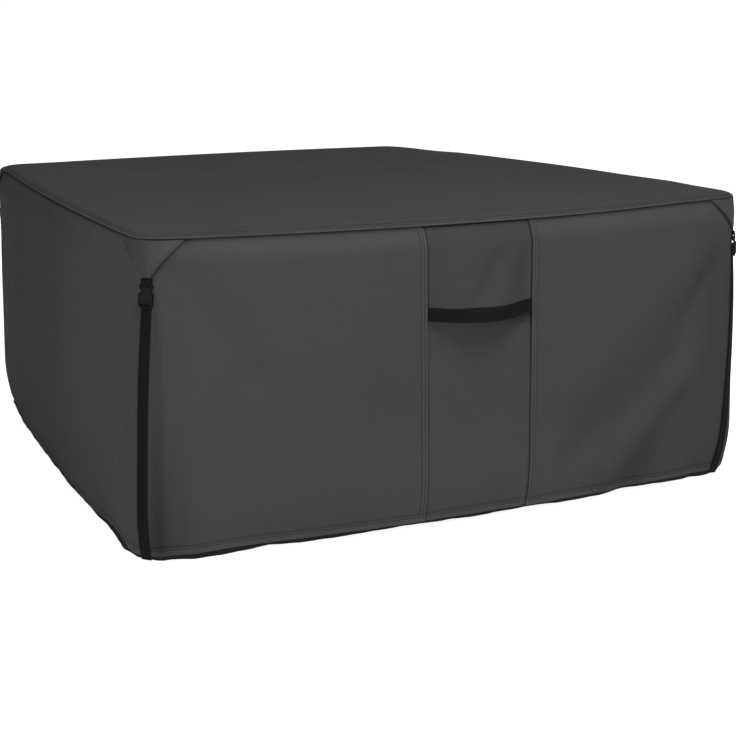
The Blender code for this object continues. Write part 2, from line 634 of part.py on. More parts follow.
def male_mesh():
    """Upper half: a bar across a slot, a stem, and two prongs whose heads show at the sides."""
    bar = BUCKLE_MIDDLE - MALE_BAR
    frame = [
        (0.0158, bar + BAR_HALF),
        (0.0164, bar - 0.001),
        (0.0164, bar - 0.0075),
        (0.0130, bar - 0.0098),
    ]
    body = outline_block("male_buckle", mirrored(frame), BAR_LOW - 0.0004, BAR_HIGH + 0.0016)
    slot_top = bar - BAR_HALF
    hole = rectangle(WEB_SLOT, slot_top - SLOT_TALL, slot_top)
    slot = outline_block("male_slot", hole, -0.01, 0.03)
    thinned = rectangle(WEB_SLOT, slot_top - 0.001, bar + 0.01)
    relief = outline_block("male_bar_relief", thinned, BAR_HIGH, 0.03)
    under = outline_block("male_bar_under", thinned, -0.01, BAR_LOW)
    prong = [
        (0.0118, bar - 0.0085),
        (0.0118, 0.0014),
        (0.0150, 0.0010),
        (0.0150, -0.0042),
        (0.0105, -0.0042),
        (0.0085, 0.0040),
        (0.0040, 0.0040),
        (0.0040, -0.0030),
    ]
    stem = outline_block("male_stem", mirrored(prong), PLATE_LOW, PLATE_HIGH)
    return cut_mesh(body, [slot, relief, under], [stem])


def female_mesh():
    """Lower half: a hollow body with side windows, and a ladder of bars for the strap."""
    bar = BUCKLE_MIDDLE - FEMALE_BAR
    low = bar - BAR_HALF
    half = [
        (0.0130, 0.0090),
        (0.0170, 0.0020),
        (0.0172, -0.0060),
        (0.0170, low + 0.002),
        (0.0158, low),
    ]
    body = outline_block("female_buckle", mirrored(half), BODY_LOW, BODY_HIGH)
    inside = (PLATE_LOW - CAVITY_CLEAR, PLATE_HIGH + CAVITY_CLEAR)
    cavity = outline_block("cavity", rectangle(0.0122, -0.0055, 0.0200), *inside)
    window = outline_block("window", rectangle(0.0300, -0.0052, 0.0018), *inside)
    slots = []
    for k, top in enumerate((bar + BAR_HALF + SLOT_TALL, bar + BAR_HALF + 2 * SLOT_TALL + 0.003)):
        hole = rectangle(WEB_SLOT, top - SLOT_TALL, top)
        slots.append(outline_block(f"slot_{k}", hole, -0.01, 0.03))
    thinned = rectangle(WEB_SLOT, low - 0.01, bar + BAR_HALF + 0.001)
    relief = outline_block("bar_relief", thinned, BAR_HIGH, 0.03)
    under = outline_block("bar_under", thinned, -0.01, BAR_LOW)
    return cut_mesh(body, [cavity, window, *slots, relief, under])


def buckle_place(corner):
    """From the buckle's own axes to its place on a corner's diagonal."""
    across, up, out, middle = buckle_frame(corner)
    rows = [[across[k], up[k], out[k], middle[k]] for k in range(3)]
    return Matrix([*rows, [0.0, 0.0, 0.0, 1.0]])


def buckles(material):
    """Both halves of a side-release buckle on each of the four corners."""
    for kind, mesh in (("male", male_mesh()), ("female", female_mesh())):
        mesh.materials.clear()
        mesh.materials.append(material)
        for corner in range(len(SIDES)):
            thing = bpy.data.objects.new(f"buckle_{kind}_{corner + 1}", mesh)
            bpy.context.scene.collection.objects.link(thing)
            thing.matrix_world = buckle_place(corner)


def new_material(name, colour, roughness):
    material = bpy.data.materials.new(name)
    material.use_nodes = True
    shader = material.node_tree.nodes["Principled BSDF"]
    shader.inputs["Base Color"].default_value = (*colour, 1.0)
    shader.inputs["Roughness"].default_value = roughness
    shader.inputs["Metallic"].default_value = 0.0
    return material


def main():
    for thing in list(bpy.data.objects):
        bpy.data.objects.remove(thing)
    cloth = new_material("cover_cloth", (0.060, 0.058, 0.058), 0.62)
    webbing = new_material("black_webbing", (0.012, 0.012, 0.012), 0.70)
    tape = new_material("hem_tape", (0.010, 0.010, 0.010), 0.75)
    plastic = new_material("buckle_plastic", (0.014, 0.014, 0.015), 0.40)
    top_panel(cloth)
    for side in (RIGHT, BACK, LEFT):
        plain_wall(side, cloth)
    front_walls(cloth)
    centre_panel(cloth)
    vent_hood(cloth)
    vent_tape(webbing)
    for side in SIDES:
        hem_tape(side, tape)
    for corner in range(len(SIDES)):
        gusset(corner, cloth)
        corner_straps(corner, webbing)
    buckles(plastic)


main()
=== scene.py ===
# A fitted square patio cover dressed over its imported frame: woven cloth, webbing, hem tape, buckles, thread
import math

import bmesh
import bpy
import numpy as np
from mathutils import Matrix, Vector


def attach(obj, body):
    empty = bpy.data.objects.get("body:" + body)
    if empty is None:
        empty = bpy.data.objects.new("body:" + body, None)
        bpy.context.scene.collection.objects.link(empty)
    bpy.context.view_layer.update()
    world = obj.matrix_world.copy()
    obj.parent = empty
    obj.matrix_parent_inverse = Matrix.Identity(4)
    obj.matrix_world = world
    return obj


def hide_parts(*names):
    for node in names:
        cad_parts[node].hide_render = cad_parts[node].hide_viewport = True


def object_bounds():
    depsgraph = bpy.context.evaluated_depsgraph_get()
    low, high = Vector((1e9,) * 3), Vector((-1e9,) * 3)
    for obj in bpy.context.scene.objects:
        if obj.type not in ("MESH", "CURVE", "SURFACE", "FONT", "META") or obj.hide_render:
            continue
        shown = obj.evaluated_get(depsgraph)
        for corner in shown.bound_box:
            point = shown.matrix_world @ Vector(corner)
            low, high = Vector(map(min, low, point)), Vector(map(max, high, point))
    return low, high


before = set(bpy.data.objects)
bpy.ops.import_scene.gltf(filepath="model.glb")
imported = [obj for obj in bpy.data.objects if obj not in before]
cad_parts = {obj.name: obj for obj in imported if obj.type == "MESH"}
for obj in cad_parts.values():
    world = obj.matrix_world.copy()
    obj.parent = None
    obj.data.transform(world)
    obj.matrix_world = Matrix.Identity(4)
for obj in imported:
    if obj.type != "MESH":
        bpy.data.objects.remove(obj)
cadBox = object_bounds()
print("frame: ", len(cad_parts), "solids")

# camera
# seen from the front left, a little above the top, with a long lens
cameraView = {
    "place": (-1.615, -3.880, 0.486),
    "downPitch": 14.03,
    "turn": 23.85,
    "roll": 0.28,
    "lens": 71.8,
}


def placeCamera(view):
    pitch, turn, roll = (math.radians(view[key]) for key in ("downPitch", "turn", "roll"))
    ahead = np.array([math.sin(turn) * math.cos(pitch), math.cos(turn) * math.cos(pitch), -math.sin(pitch)])
    right = np.array([math.cos(turn), -math.sin(turn), 0.0])
    down = np.cross(ahead, right)
    rolledRight = right * math.cos(roll) + down * math.sin(roll)
    rolledDown = down * math.cos(roll) - right * math.sin(roll)
    data = bpy.data.cameras.new("photoCamera")
    data.lens = view["lens"]
    data.clip_end = 60.0
    camera = bpy.data.objects.new("photoCamera", data)
    bpy.context.scene.collection.objects.link(camera)
    axes = np.stack([rolledRight, -rolledDown, -ahead], axis=1)
    camera.matrix_world = Matrix.Translation(view["place"]) @ Matrix(axes.tolist()).to_4x4()
    bpy.context.scene.camera = camera


placeCamera(cameraView)
print("camera placed")

# the form that the cloth hangs in
coverForm = {
    "halfSize": 0.815,  # half of the 1.63 m between the walls at their corners
    "wallBow": 0.040,  # a wall's middle stands out this far beyond its corners
    "cornerRadius": 0.100,
    "wallDrop": 0.718,  # from the lip of the top seam to the hem
    "lipDepth": 0.016,  # from the top's plane down to the lip
    "shoulderInset": 0.024,
    "shoulderDrop": 0.060,
    "shoulderFade": 0.200,
    "rollWidth": 0.026,
    "flare": 0.013,
    "tuck": 0.020,  # the hem turns in by this over the last tuckDrop
    "tuckDrop": 0.130,
    "curl": 0.45,  # lean of the tape below the hem, inwards
    "curlFrom": (0.110, 0.030),  # distances from a corner over which a tape takes its own lean
    "cornerPull": 0.035,  # under each strap the corner is drawn in
    "cornerPullDrop": 0.090,
    "cornerFlare": 0.030,
    "cornerNear": 0.012,
    "cornerReach": 0.260,
    "cornerSlack": (1.0, 0.2, 0.5, 0.1),
    "shoulderKept": (1.0, 0.45, 1.0, 0.35),  # share of the shoulder's inset at each corner
    "strapDrift": (0.0, -0.060, 0.0, 0.0),  # how far from its diagonal each strap ends at the hem
    "driftStart": 0.165,
    "driftPower": 1.1,
    "driftStandoff": 0.0009,
    "farSlump": 0.029,
    "slumpFrom": 0.50,
    "slumpTo": 0.80,
    "frontRise": 0.006,
    "riseFrom": 0.20,
    "topDishing": 0.006,
    "topPlane": -0.0012,
}
clothForm = {
    "thickness": 0.0016,
    "layer": 0.0020,  # one thickness and the gap to the next
    "topLap": 0.012,  # the walls reach this far up under the top
    "cornerGap": 0.0003,
    "hemHeight": 0.023,
    "topFlat": (1.70, 1.70),
}
# each wall: quarter turns, more bow at its lip and hem, sag of its lip, rise of its hem, how straight its
# tape hangs
wallColumns = ("turns", "lipBow", "hemBow", "lipSag", "hemRise", "tapeHang")
wallValues = {
    "front": (0, 0.028, 0.028, 0.003, 0.003, 0.0),
    "right": (1, 0.000, 0.006, 0.003, 0.004, 0.5),
    "back": (2, 0.000, 0.004, 0.001, 0.003, 0.5),
    "left": (3, -0.014, 0.004, 0.000, 0.003, 0.72),
}
walls = {wall: dict(zip(wallColumns, values)) for wall, values in wallValues.items()}
wallNames = list(walls)
# soft folds as u0, drop0, u1, drop1, width, height, with u to the right from the wall's middle
wallFolds = {
    "front": (
        (-0.735, 0.150, -0.735, 0.690, 0.022, -0.008),
        (-0.560, 0.180, -0.560, 0.560, 0.090, 0.004),
        (0.650, 0.090, 0.260, 0.440, 0.055, 0.006),
        (0.715, 0.190, 0.300, 0.540, 0.050, -0.008),
        (0.700, 0.350, 0.360, 0.650, 0.050, 0.007),
        (0.650, 0.510, 0.460, 0.690, 0.042, -0.005),
        (0.735, 0.150, 0.672, 0.690, 0.022, -0.005),
    ),
    "left": (
        (0.735, 0.150, 0.735, 0.690, 0.022, -0.002),
        (0.500, 0.150, 0.440, 0.640, 0.150, 0.005),
        (0.080, 0.180, 0.040, 0.660, 0.160, -0.004),
        (-0.420, 0.160, -0.380, 0.640, 0.150, 0.004),
    ),
    "right": (
        (-0.700, 0.160, -0.360, 0.620, 0.090, -0.008),
        (0.120, 0.140, 0.240, 0.660, 0.110, 0.009),
        (0.640, 0.130, 0.430, 0.650, 0.090, -0.008),
    ),
    "back": (
        (-0.600, 0.140, -0.420, 0.640, 0.100, -0.009),
        (-0.120, 0.180, -0.180, 0.640, 0.120, 0.008),
        (0.520, 0.130, 0.360, 0.640, 0.100, -0.008),
    ),
}
# finer creases and drag lines that the solids leave out
wallCreases = {
    "front": (
        (-0.758, 0.230, -0.756, 0.740, 0.018, -0.0080),
        (-0.715, 0.090, -0.560, 0.310, 0.034, -0.0045),
        (-0.560, 0.310, -0.420, 0.400, 0.036, -0.0035),
        (-0.690, 0.220, -0.560, 0.430, 0.040, 0.0025),
        (0.730, 0.080, 0.675, 0.215, 0.028, -0.0045),
        (0.675, 0.215, 0.590, 0.385, 0.030, -0.0068),
        (0.590, 0.385, 0.400, 0.535, 0.034, -0.0066),
        (0.400, 0.535, 0.260, 0.600, 0.036, -0.0030),
        (0.640, 0.420, 0.430, 0.590, 0.026, 0.0036),
        (0.600, 0.510, 0.440, 0.690, 0.032, -0.0070),
        (0.690, 0.400, 0.640, 0.650, 0.024, -0.0035),
        (0.300, 0.070, 0.230, 0.300, 0.030, -0.0010),
        (-0.300, 0.500, -0.420, 0.680, 0.035, 0.0012),
    ),
    "left": (
        (0.700, 0.600, 0.690, 0.760, 0.090, -0.0090),
        (0.640, 0.080, 0.560, 0.260, 0.026, -0.0012),
        (0.300, 0.300, 0.200, 0.620, 0.050, 0.0012),
        (-0.200, 0.090, -0.330, 0.420, 0.045, -0.0010),
        (-0.620, 0.080, -0.500, 0.340, 0.032, -0.0010),
    ),
    "right": (
        (-0.620, 0.080, -0.500, 0.330, 0.026, 0.0037),
        (-0.100, 0.300, -0.200, 0.640, 0.040, -0.0044),
        (0.360, 0.080, 0.480, 0.360, 0.032, 0.0041),
        (0.640, 0.090, 0.560, 0.300, 0.022, -0.0041),
    ),
    "back": (
        (-0.650, 0.080, -0.540, 0.320, 0.024, -0.0041),
        (0.100, 0.260, 0.200, 0.640, 0.038, 0.0048),
        (0.640, 0.080, 0.500, 0.340, 0.026, -0.0044),
        (-0.300, 0.400, -0.380, 0.680, 0.034, -0.0034),
    ),
}
topFolds = (
    (-0.45, 0.42, 0.60, 0.30, 0.140, -0.004),
    (-0.60, -0.35, 0.30, -0.45, 0.170, 0.003),
    (0.35, 0.60, 0.62, -0.20, 0.120, -0.003),
)
rippleForm = {
    # waves as length, phase and share
    "seamWaves": ((0.034, 0.4, 0.5), (0.047, 2.1, 0.7), (0.079, 4.0, 1.0), (0.131, 1.2, 0.8)),
    "seamHeight": 0.00020,
    "seamReach": 0.055,
    "hemWaves": ((0.093, 1.0, 0.5), (0.147, 3.1, 0.8), (0.236, 0.3, 1.0)),
    "hemHeight": 0.0006,
    "hemReach": 0.16,
    "hemSlant": 0.15,
    "broadHeight": 0.0003,
    "topHeight": 0.0004,
    "wallPhase": 1.7,  # from one wall to the next
    "strapHold": (0.045, 0.018),  # distances from a strap over which it comes to hold the cloth still
    "foldStart": 0.080,
}


def smoothStep(x, low, high):
    t = np.clip((x - low) / (high - low), 0.0, 1.0)
    return t * t * (3 - 2 * t)


# a rounded mound of height 1 along a line: e to the minus square of (distance from the line / width)
def lineMound(x, y, x0, y0, x1, y1, width):
    run, rise = x1 - x0, y1 - y0
    share = np.clip(((x - x0) * run + (y - y0) * rise) / (run**2 + rise**2), 0.0, 1.0)
    return np.exp(-((np.hypot(x - x0 - share * run, y - y0 - share * rise) / width) ** 2))


# a sum of sines along one direction, never repeating within a wall
def rippleAlong(x, waves, shift):
    return sum(share * np.sin(2 * math.pi * x / length + phase + shift) for length, phase, share in waves)


# the wall bows out as 1 - (u / half)^2, and a quarter round corner leaves it where the two tangents meet
def cornerOfPlan():
    half, bow, radius = coverForm["halfSize"], coverForm["wallBow"], coverForm["cornerRadius"]
    near, far = half - 2 * radius, half
    for _ in range(60):
        middle = (near + far) / 2
        angle = math.atan(2 * bow * middle / half**2)
        out = half + bow * (1 - (middle / half) ** 2)
        centreAlong = middle - radius * math.sin(angle)
        if centreAlong < out - radius * math.cos(angle):
            near = middle
        else:
            far = middle
    return middle, angle, centreAlong


bowHalf, bowEndAngle, arcCentre = cornerOfPlan()
wallHalf = bowHalf + coverForm["cornerRadius"] * (math.pi / 4 - bowEndAngle)
wallDrop = coverForm["wallDrop"]
hemTurn = wallDrop - clothForm["hemHeight"]


# plan of a wall at u: how far along, how far out, and the outward normal
def wallPlan(u):
    half, bow, radius = coverForm["halfSize"], coverForm["wallBow"], coverForm["cornerRadius"]
    onBow = np.abs(u) <= bowHalf
    slope = 2 * bow * u / half**2
    length = np.sqrt(1 + slope**2)
    turned = bowEndAngle + (np.abs(u) - bowHalf) / radius
    way = np.sign(u)
    along = np.where(onBow, u, way * (arcCentre + radius * np.sin(turned)))
    out = np.where(onBow, half + bow * (1 - (u / half) ** 2), arcCentre + radius * np.cos(turned))
    normalAlong = np.where(onBow, slope / length, way * np.sin(turned))
    normalOut = np.where(onBow, 1 / length, np.cos(turned))
    return along, out, normalAlong, normalOut


# how far a strap's middle lies from its corner's diagonal, to the right outside, and its slope
def strapShift(corner, drop):
    end, power = coverForm["strapDrift"][corner], coverForm["driftPower"]
    run = wallDrop - coverForm["driftStart"]
    share = np.clip((drop - coverForm["driftStart"]) / run, 0.0, None)
    return end * share**power, end * power * share ** (power - 1) / run


# outward height of folds, creases and ripples; the top seam and the corner straps hold the cloth still
def wallRelief(wall, u, drop):
    below = np.minimum(drop, hemTurn)
    total = 0.0
    for u0, drop0, u1, drop1, width, height in wallFolds[wall] + wallCreases[wall]:
        total = total + height * lineMound(u, below, u0, drop0, u1, drop1, width)
    quarter = wallNames.index(wall)
    atLeft = np.maximum(strapShift(quarter, below)[0], 0.0)
    atRight = np.maximum(-strapShift((quarter + 1) % 4, below)[0], 0.0)
    held = wallHalf - np.where(u < 0, atLeft, atRight)
    form = rippleForm
    free = 1 - smoothStep(np.abs(u), held - form["strapHold"][0], held - form["strapHold"][1])
    shift = form["wallPhase"] * walls[wall]["turns"]
    nearSeam = smoothStep(drop, 0.0, 0.016) * np.exp(-((drop / form["seamReach"]) ** 2))
    nearHem = smoothStep(drop, hemTurn - form["hemReach"], wallDrop)
    ripples = form["seamHeight"] * rippleAlong(u, form["seamWaves"], shift) * nearSeam
    slanted = rippleAlong(u + form["hemSlant"] * drop, form["hemWaves"], shift)
    ripples = ripples + form["hemHeight"] * slanted * nearHem
    broad = np.sin(u / 0.053 + 2.3 * np.sin(drop / 0.13 + shift)) * np.sin(drop / 0.087 + shift)
    ripples = ripples + form["broadHeight"] * broad * smoothStep(drop, 0.03, 0.14)
    return (total * smoothStep(drop, 0.0, form["foldStart"]) + ripples) * free


# the value of a corner's own setting at the wall's nearer end
def atCorner(setting, wall, u):
    quarter = wallNames.index(wall)
    return np.where(u < 0, coverForm[setting][quarter], coverForm[setting][(quarter + 1) % 4])


# drawn in below the gusset as t e^(1 - t), and out again with the square of the drop
def cornerRelief(wall, u, drop):
    near = 1 - smoothStep(wallHalf - np.abs(u), coverForm["cornerNear"], coverForm["cornerReach"])
    t = drop / coverForm["cornerPullDrop"]
    flared = coverForm["cornerFlare"] * (drop / wallDrop) ** 2
    return atCorner("cornerSlack", wall, u) * near * (flared - coverForm["cornerPull"] * t * np.exp(1 - t))


def topSlump(x, y):
    low, high, rise = coverForm["slumpFrom"], coverForm["slumpTo"], coverForm["riseFrom"]
    far = smoothStep(x, low, high) * np.clip((y + low) / (low + high), 0.0, 1.0)
    front = smoothStep(x, rise, high) * smoothStep(-y, rise, high)
    return coverForm["frontRise"] * front - coverForm["farSlump"] * far


# the flat of the top: dished with the square of the radius, slumped, softly folded and rippled
def topHeight(x, y):
    total = coverForm["topPlane"] + topSlump(x, y)
    total = total - coverForm["topDishing"] * (x**2 + y**2) / (2 * coverForm["halfSize"] ** 2)
    for x0, y0, x1, y1, width, height in topFolds:
        middle = lineMound(0.0, 0.0, x0, y0, x1, y1, width)
        total = total + height * (lineMound(x, y, x0, y0, x1, y1, width) - middle)
    inside = np.clip(1 - np.maximum(np.abs(x), np.abs(y)) / 0.86, 0.0, 1.0)
    broad = np.sin(x / 0.061 + 1.9 * np.sin(y / 0.17)) * np.sin(y / 0.083 + 1.1 * np.sin(x / 0.21 + 0.7))
    return total + rippleForm["topHeight"] * broad * smoothStep(inside, 0.02, 0.20)


# middle surface of the outer cloth; a negative drop goes inwards from the lip, over the top
def skin(wall, u, drop):
    form, side = coverForm, walls[wall]
    u, drop = np.broadcast_arrays(np.asarray(u, float), np.asarray(drop, float))
    along, out, normalAlong, normalOut = wallPlan(u)
    below = np.clip(drop, 0.0, None)
    shoulder = form["shoulderInset"] * np.clip(1 - below / form["shoulderDrop"], 0.0, 1.0) ** 2
    kept = atCorner("shoulderKept", wall, u)
    alongShoulder = smoothStep(wallHalf - np.abs(u), form["cornerNear"], form["shoulderFade"])
    shoulder = shoulder * (kept + (1 - kept) * alongShoulder)
    tuck = form["tuck"] * np.clip((below - wallDrop + form["tuckDrop"]) / form["tuckDrop"], 0.0, 1.0) ** 2
    first, last = form["curlFrom"]
    straight = side["tapeHang"] * (1 - smoothStep(np.abs(u), wallHalf - first, wallHalf - last))
    curl = (form["curl"] - straight) * np.clip(drop - wallDrop, 0.0, None)
    middle = 1 - (u / wallHalf) ** 2
    bow = side["lipBow"] + (side["hemBow"] - side["lipBow"]) * below / wallDrop
    offset = form["flare"] * below / wallDrop - shoulder - tuck - curl + bow * middle
    offset = offset + wallRelief(wall, u, below) + cornerRelief(wall, u, below) + np.clip(drop, None, 0.0)
    along, out = along + normalAlong * offset, out + normalOut * offset
    turn = side["turns"] * math.pi / 2
    x = along * math.cos(turn) + out * math.sin(turn)
    y = along * math.sin(turn) - out * math.cos(turn)
    lip = -form["lipDepth"] - side["lipSag"] * middle + topSlump(x, y)
    hem = -form["lipDepth"] - wallDrop + side["hemRise"] * middle
    roll = 1 - np.clip(1 + drop / form["rollWidth"], 0.0, 1.0) ** 2
    overTop = lip + (topHeight(x, y) - lip) * roll
    z = np.where(drop < 0, overTop, lip + (hem - lip) * drop / wallDrop)
    return np.stack([x, y, z], axis=-1)


def wallSkin(wall):
    return lambda u, drop: skin(wall, u, drop)


# the same cloth round a corner, with across 0 on its diagonal
def cornerSkin(corner, across, drop):
    across, drop = np.broadcast_arrays(np.asarray(across, float), np.asarray(drop, float))
    onRight = skin(wallNames[corner], np.maximum(across, 0.0) - wallHalf, drop)
    onLeft = skin(wallNames[corner - 1], wallHalf + np.minimum(across, 0.0), drop)
    return np.where((across >= 0)[..., None], onRight, onLeft)


def unit(vectors):
    return vectors / np.linalg.norm(vectors, axis=-1, keepdims=True)


# outward normals: the slope down crossed with the slope along
def normalsOf(surface, u, drop):
    step = 1e-4
    along = surface(u + step, drop) - surface(u - step, drop)
    down = surface(u, drop + step) - surface(u, drop - step)
    return unit(np.cross(down, along))


# length along a line at each of its points
def runOf(line):
    return np.concatenate([[0.0], np.cumsum(np.linalg.norm(np.diff(line, axis=0), axis=1))])


# values along a line, taken at other lengths
def pickAlong(run, values, at):
    return np.stack([np.interp(at, run, values[:, k]) for k in range(3)], axis=-1)


# steps over runs of (start, end, steps), joined end to end
def pieceSteps(*runs):
    parts = [np.linspace(start, end, steps + 1)[:-1] for start, end, steps in runs]
    return np.concatenate([*parts, [runs[-1][1]]])


# shader helpers and shared effects
noiseScale = {
    "mottle": 3.5,
    "crumple": 16.0,
    "grain": 42.0,
    "dust": 9.0,
    "yarnTone": 60.0,
    "bloom": 55.0,
    "scuffs": 6.0,
    "moulded": 2600.0,
}


def addNode(tree, kind, inputs=None, **settings):
    made = tree.nodes.new("ShaderNode" + kind)
    for key, value in settings.items():
        setattr(made, key, value)
    for key, value in (inputs or {}).items():
        if isinstance(value, bpy.types.NodeSocket):
            tree.links.new(value, made.inputs[key])
        else:
            made.inputs[key].default_value = value
    return made


def useGroup(tree, group, inputs):
    return addNode(tree, "Group", inputs, node_tree=group).outputs


def mathNode(tree, operation, *values):
    return addNode(tree, "Math", dict(enumerate(values)), operation=operation).outputs[0]


def product(tree, first, *others):
    for other in others:
        first = mathNode(tree, "MULTIPLY", first, other)
    return first


# one rounded hump from each whole number to the next: the sine of pi times the value, without its sign
def humps(tree, value):
    return mathNode(tree, "ABSOLUTE", mathNode(tree, "SINE", product(tree, value, math.pi)))


def ranged(tree, value, low, high, atLow, atHigh):
    return addNode(tree, "MapRange", {"Value": value, 1: low, 2: high, 3: atLow, 4: atHigh}).outputs[0]


def noiseAt(tree, place, scale, detail, roughness=0.5):
    inputs = {"Vector": place, "Scale": scale, "Detail": detail, "Roughness": roughness}
    return addNode(tree, "TexNoise", inputs).outputs["Fac"]


def splitVector(tree, vector):
    return addNode(tree, "SeparateXYZ", {0: vector}).outputs


def shaderGroup(name, inputs, outputs):
    group = bpy.data.node_groups.new(name, "ShaderNodeTree")
    for title, kind, value in inputs:
        socket = group.interface.new_socket(title, in_out="INPUT", socket_type="NodeSocket" + kind)
        if value is not None:
            socket.default_value = value
    for title, kind in outputs:
        group.interface.new_socket(title, in_out="OUTPUT", socket_type="NodeSocket" + kind)
    return group, group.nodes.new("NodeGroupInput").outputs, group.nodes.new("NodeGroupOutput").inputs


# plain weave: in each square cell the warp or the weft lies on top, and its height is the product of
# the sines across and along the thread, raised to a high and a low power
def makeWeaveGroup():
    group, given, result = shaderGroup(
        "plainWeave",
        [("Vector", "Vector", None), ("Thread", "Float", 0.0006)],
        [("Height", "Float"), ("Tone", "Float")],
    )
    split = splitVector(group, given["Vector"])
    threads = [mathNode(group, "DIVIDE", split[axis], given["Thread"]) for axis in "XY"]
    cells = [mathNode(group, "FLOOR", value) for value in threads]
    sineX, sineY = (humps(group, value) for value in threads)
    warp, weft = (
        product(group, mathNode(group, "POWER", sineX, powerX), mathNode(group, "POWER", sineY, powerY))
        for powerX, powerY in ((0.9, 0.3), (0.3, 0.9))
    )
    # each thread has its own shade, from noise that is long along it
    warpTone, weftTone = (
        addNode(group, "TexWhiteNoise", {"W": cell}, noise_dimensions="1D").outputs[0] for cell in cells
    )
    upper = mathNode(group, "PINGPONG", mathNode(group, "ADD", *cells), 1.0)
    for name, onWarp, onWeft in (("Height", warp, weft), ("Tone", warpTone, weftTone)):
        step = mathNode(group, "SUBTRACT", onWarp, onWeft)
        group.links.new(mathNode(group, "MULTIPLY_ADD", step, upper, onWeft), result[name])
    return group


# soft variation round 1, from fractal noise
def makeMottleGroup():
    group, given, result = shaderGroup(
        "softMottle",
        [("Vector", "Vector", None), ("Scale", "Float", 5.0), ("Amount", "Float", 0.05)],
        [("Factor", "Float")],
    )
    centred = mathNode(group, "SUBTRACT", noiseAt(group, given["Vector"], given["Scale"], 4.0), 0.5)
    swing = product(group, centred, given["Amount"])
    group.links.new(mathNode(group, "MULTIPLY_ADD", swing, 3.0, 1.0), result["Factor"])
    return group


# dust that settles on what faces up and a little along the hem, broken up by noise
def makeDustGroup():
    group, given, result = shaderGroup(
        "settledDust",
        [
            ("Colour", "Color", (0.05, 0.05, 0.05, 1.0)),
            ("Dust", "Color", (0.16, 0.15, 0.14, 1.0)),
            ("Amount", "Float", 0.1),
        ],
        [("Colour", "Color"), ("Mask", "Float")],
    )
    place = addNode(group, "TexCoord").outputs["Object"]
    facing = splitVector(group, addNode(group, "NewGeometry").outputs["Normal"])["Z"]
    upward = ranged(group, facing, 0.2, 1.0, 0.0, 1.0)
    hem = ranged(group, splitVector(group, place)["Z"], -0.74, -0.66, 0.8, 0.0)
    specks = noiseAt(group, place, noiseScale["dust"], 8.0, 0.65)
    specks = ranged(group, specks, 0.42, 0.68, 0.1, 1.0)
    mask = product(group, mathNode(group, "MAXIMUM", upward, hem), specks, given["Amount"])
    mixed = addNode(group, "Mix", {0: mask, 6: given["Colour"], 7: given["Dust"]}, data_type="RGBA")
    group.links.new(mixed.outputs[2], result["Colour"])
    group.links.new(mask, result["Mask"])
    return group


# ribs across a webbing, each of short yarns that are offset from rib to rib
def makeRibGroup():
    group, given, result = shaderGroup(
        "ribbedYarn",
        [("Vector", "Vector", None), ("Pitch", "Float", 0.0021), ("Yarn", "Float", 0.0009)],
        [("Height", "Float"), ("Groove", "Float")],
    )
    split = splitVector(group, given["Vector"])
    rib = mathNode(group, "DIVIDE", split["Y"], given["Pitch"])
    across = humps(group, rib)
    shifted = product(group, mathNode(group, "FLOOR", rib), 0.5)
    yarn = mathNode(group, "ADD", mathNode(group, "DIVIDE", split["X"], given["Yarn"]), shifted)
    along = humps(group, mathNode(group, "MULTIPLY_ADD", rib, 0.45, yarn))
    raised = product(group, mathNode(group, "POWER", across, 0.6), mathNode(group, "POWER", along, 0.5))
    group.links.new(raised, result["Height"])
    group.links.new(across, result["Groove"])
    return group


weaveGroup = makeWeaveGroup()
mottleGroup = makeMottleGroup()
dustGroup = makeDustGroup()
ribGroup = makeRibGroup()


def startMaterial(name, fixed):
    material = bpy.data.materials.new(name)
    material.use_nodes = True
    shader = material.node_tree.nodes["Principled BSDF"]
    for key, value in fixed.items():
        shader.inputs[key].default_value = value
    return material, material.node_tree, shader


def mottled(tree, place, scale, amount):
    return useGroup(tree, mottleGroup, {"Vector": place, "Scale": scale, "Amount": amount})["Factor"]


# the colour times a factor that varies over the surface, under its dust
def colourAndDust(tree, shader, values, factor):
    colour = addNode(tree, "VectorMath", {0: values["colour"], 1: factor}, operation="MULTIPLY").outputs[0]
    inputs = {"Colour": colour, "Dust": values["dust"], "Amount": values["dustAmount"]}
    dusty = useGroup(tree, dustGroup, inputs)
    tree.links.new(dusty["Colour"], shader.inputs["Base Color"])
    return dusty["Mask"]


def bumped(tree, height, distance, strength=1.0, under=None):
    inputs = {"Height": height, "Distance": distance, "Strength": strength}
    if under is not None:
        inputs["Normal"] = under
    return addNode(tree, "Bump", inputs).outputs["Normal"]


# woven polyester: threads in relief, a slightly crumpled face, faint mottling and dust, with painted shade
# and painted highlights from the mesh's attribute
def makeCloth(name, values):
    material, tree, shader = startMaterial(name, values["fixed"])
    pattern = addNode(tree, "TexCoord").outputs
    weave = useGroup(tree, weaveGroup, {"Vector": pattern["UV"], "Thread": values["thread"]})
    broad = mottled(tree, pattern["Object"], noiseScale["mottle"], values["mottle"])
    fine = mottled(tree, pattern["Object"], noiseScale["grain"], values["grain"])
    thread = ranged(tree, weave["Tone"], 0.0, 1.0, 1 - values["threadTone"], 1 + values["threadTone"])
    # the low places between threads are painted darker, as painted shade
    gap = ranged(tree, weave["Height"], 0.0, 0.6, values["gapTone"], 1.0)
    # the mesh's attribute paints shade and highlights into the colour, with some dirt along the stitch lines
    seam = addNode(tree, "Attribute", attribute_name="paintedLightAndDirt").outputs["Fac"]
    lightAndDirtFactor = mathNode(tree, "MULTIPLY_ADD", seam, values["seamTone"] - 1, 1.0)
    dust = colourAndDust(tree, shader, values, product(tree, broad, fine, thread, gap, lightAndDirtFactor))
    rough = product(tree, fine, values["roughness"])
    tree.links.new(mathNode(tree, "MULTIPLY_ADD", dust, 0.2, rough), shader.inputs["Roughness"])
    soft = noiseAt(tree, pattern["Object"], noiseScale["crumple"], 5.0, 0.55)
    soft = bumped(tree, soft, values["crumple"])
    tree.links.new(bumped(tree, weave["Height"], values["relief"], 1.0, soft), shader.inputs["Normal"])
    return material


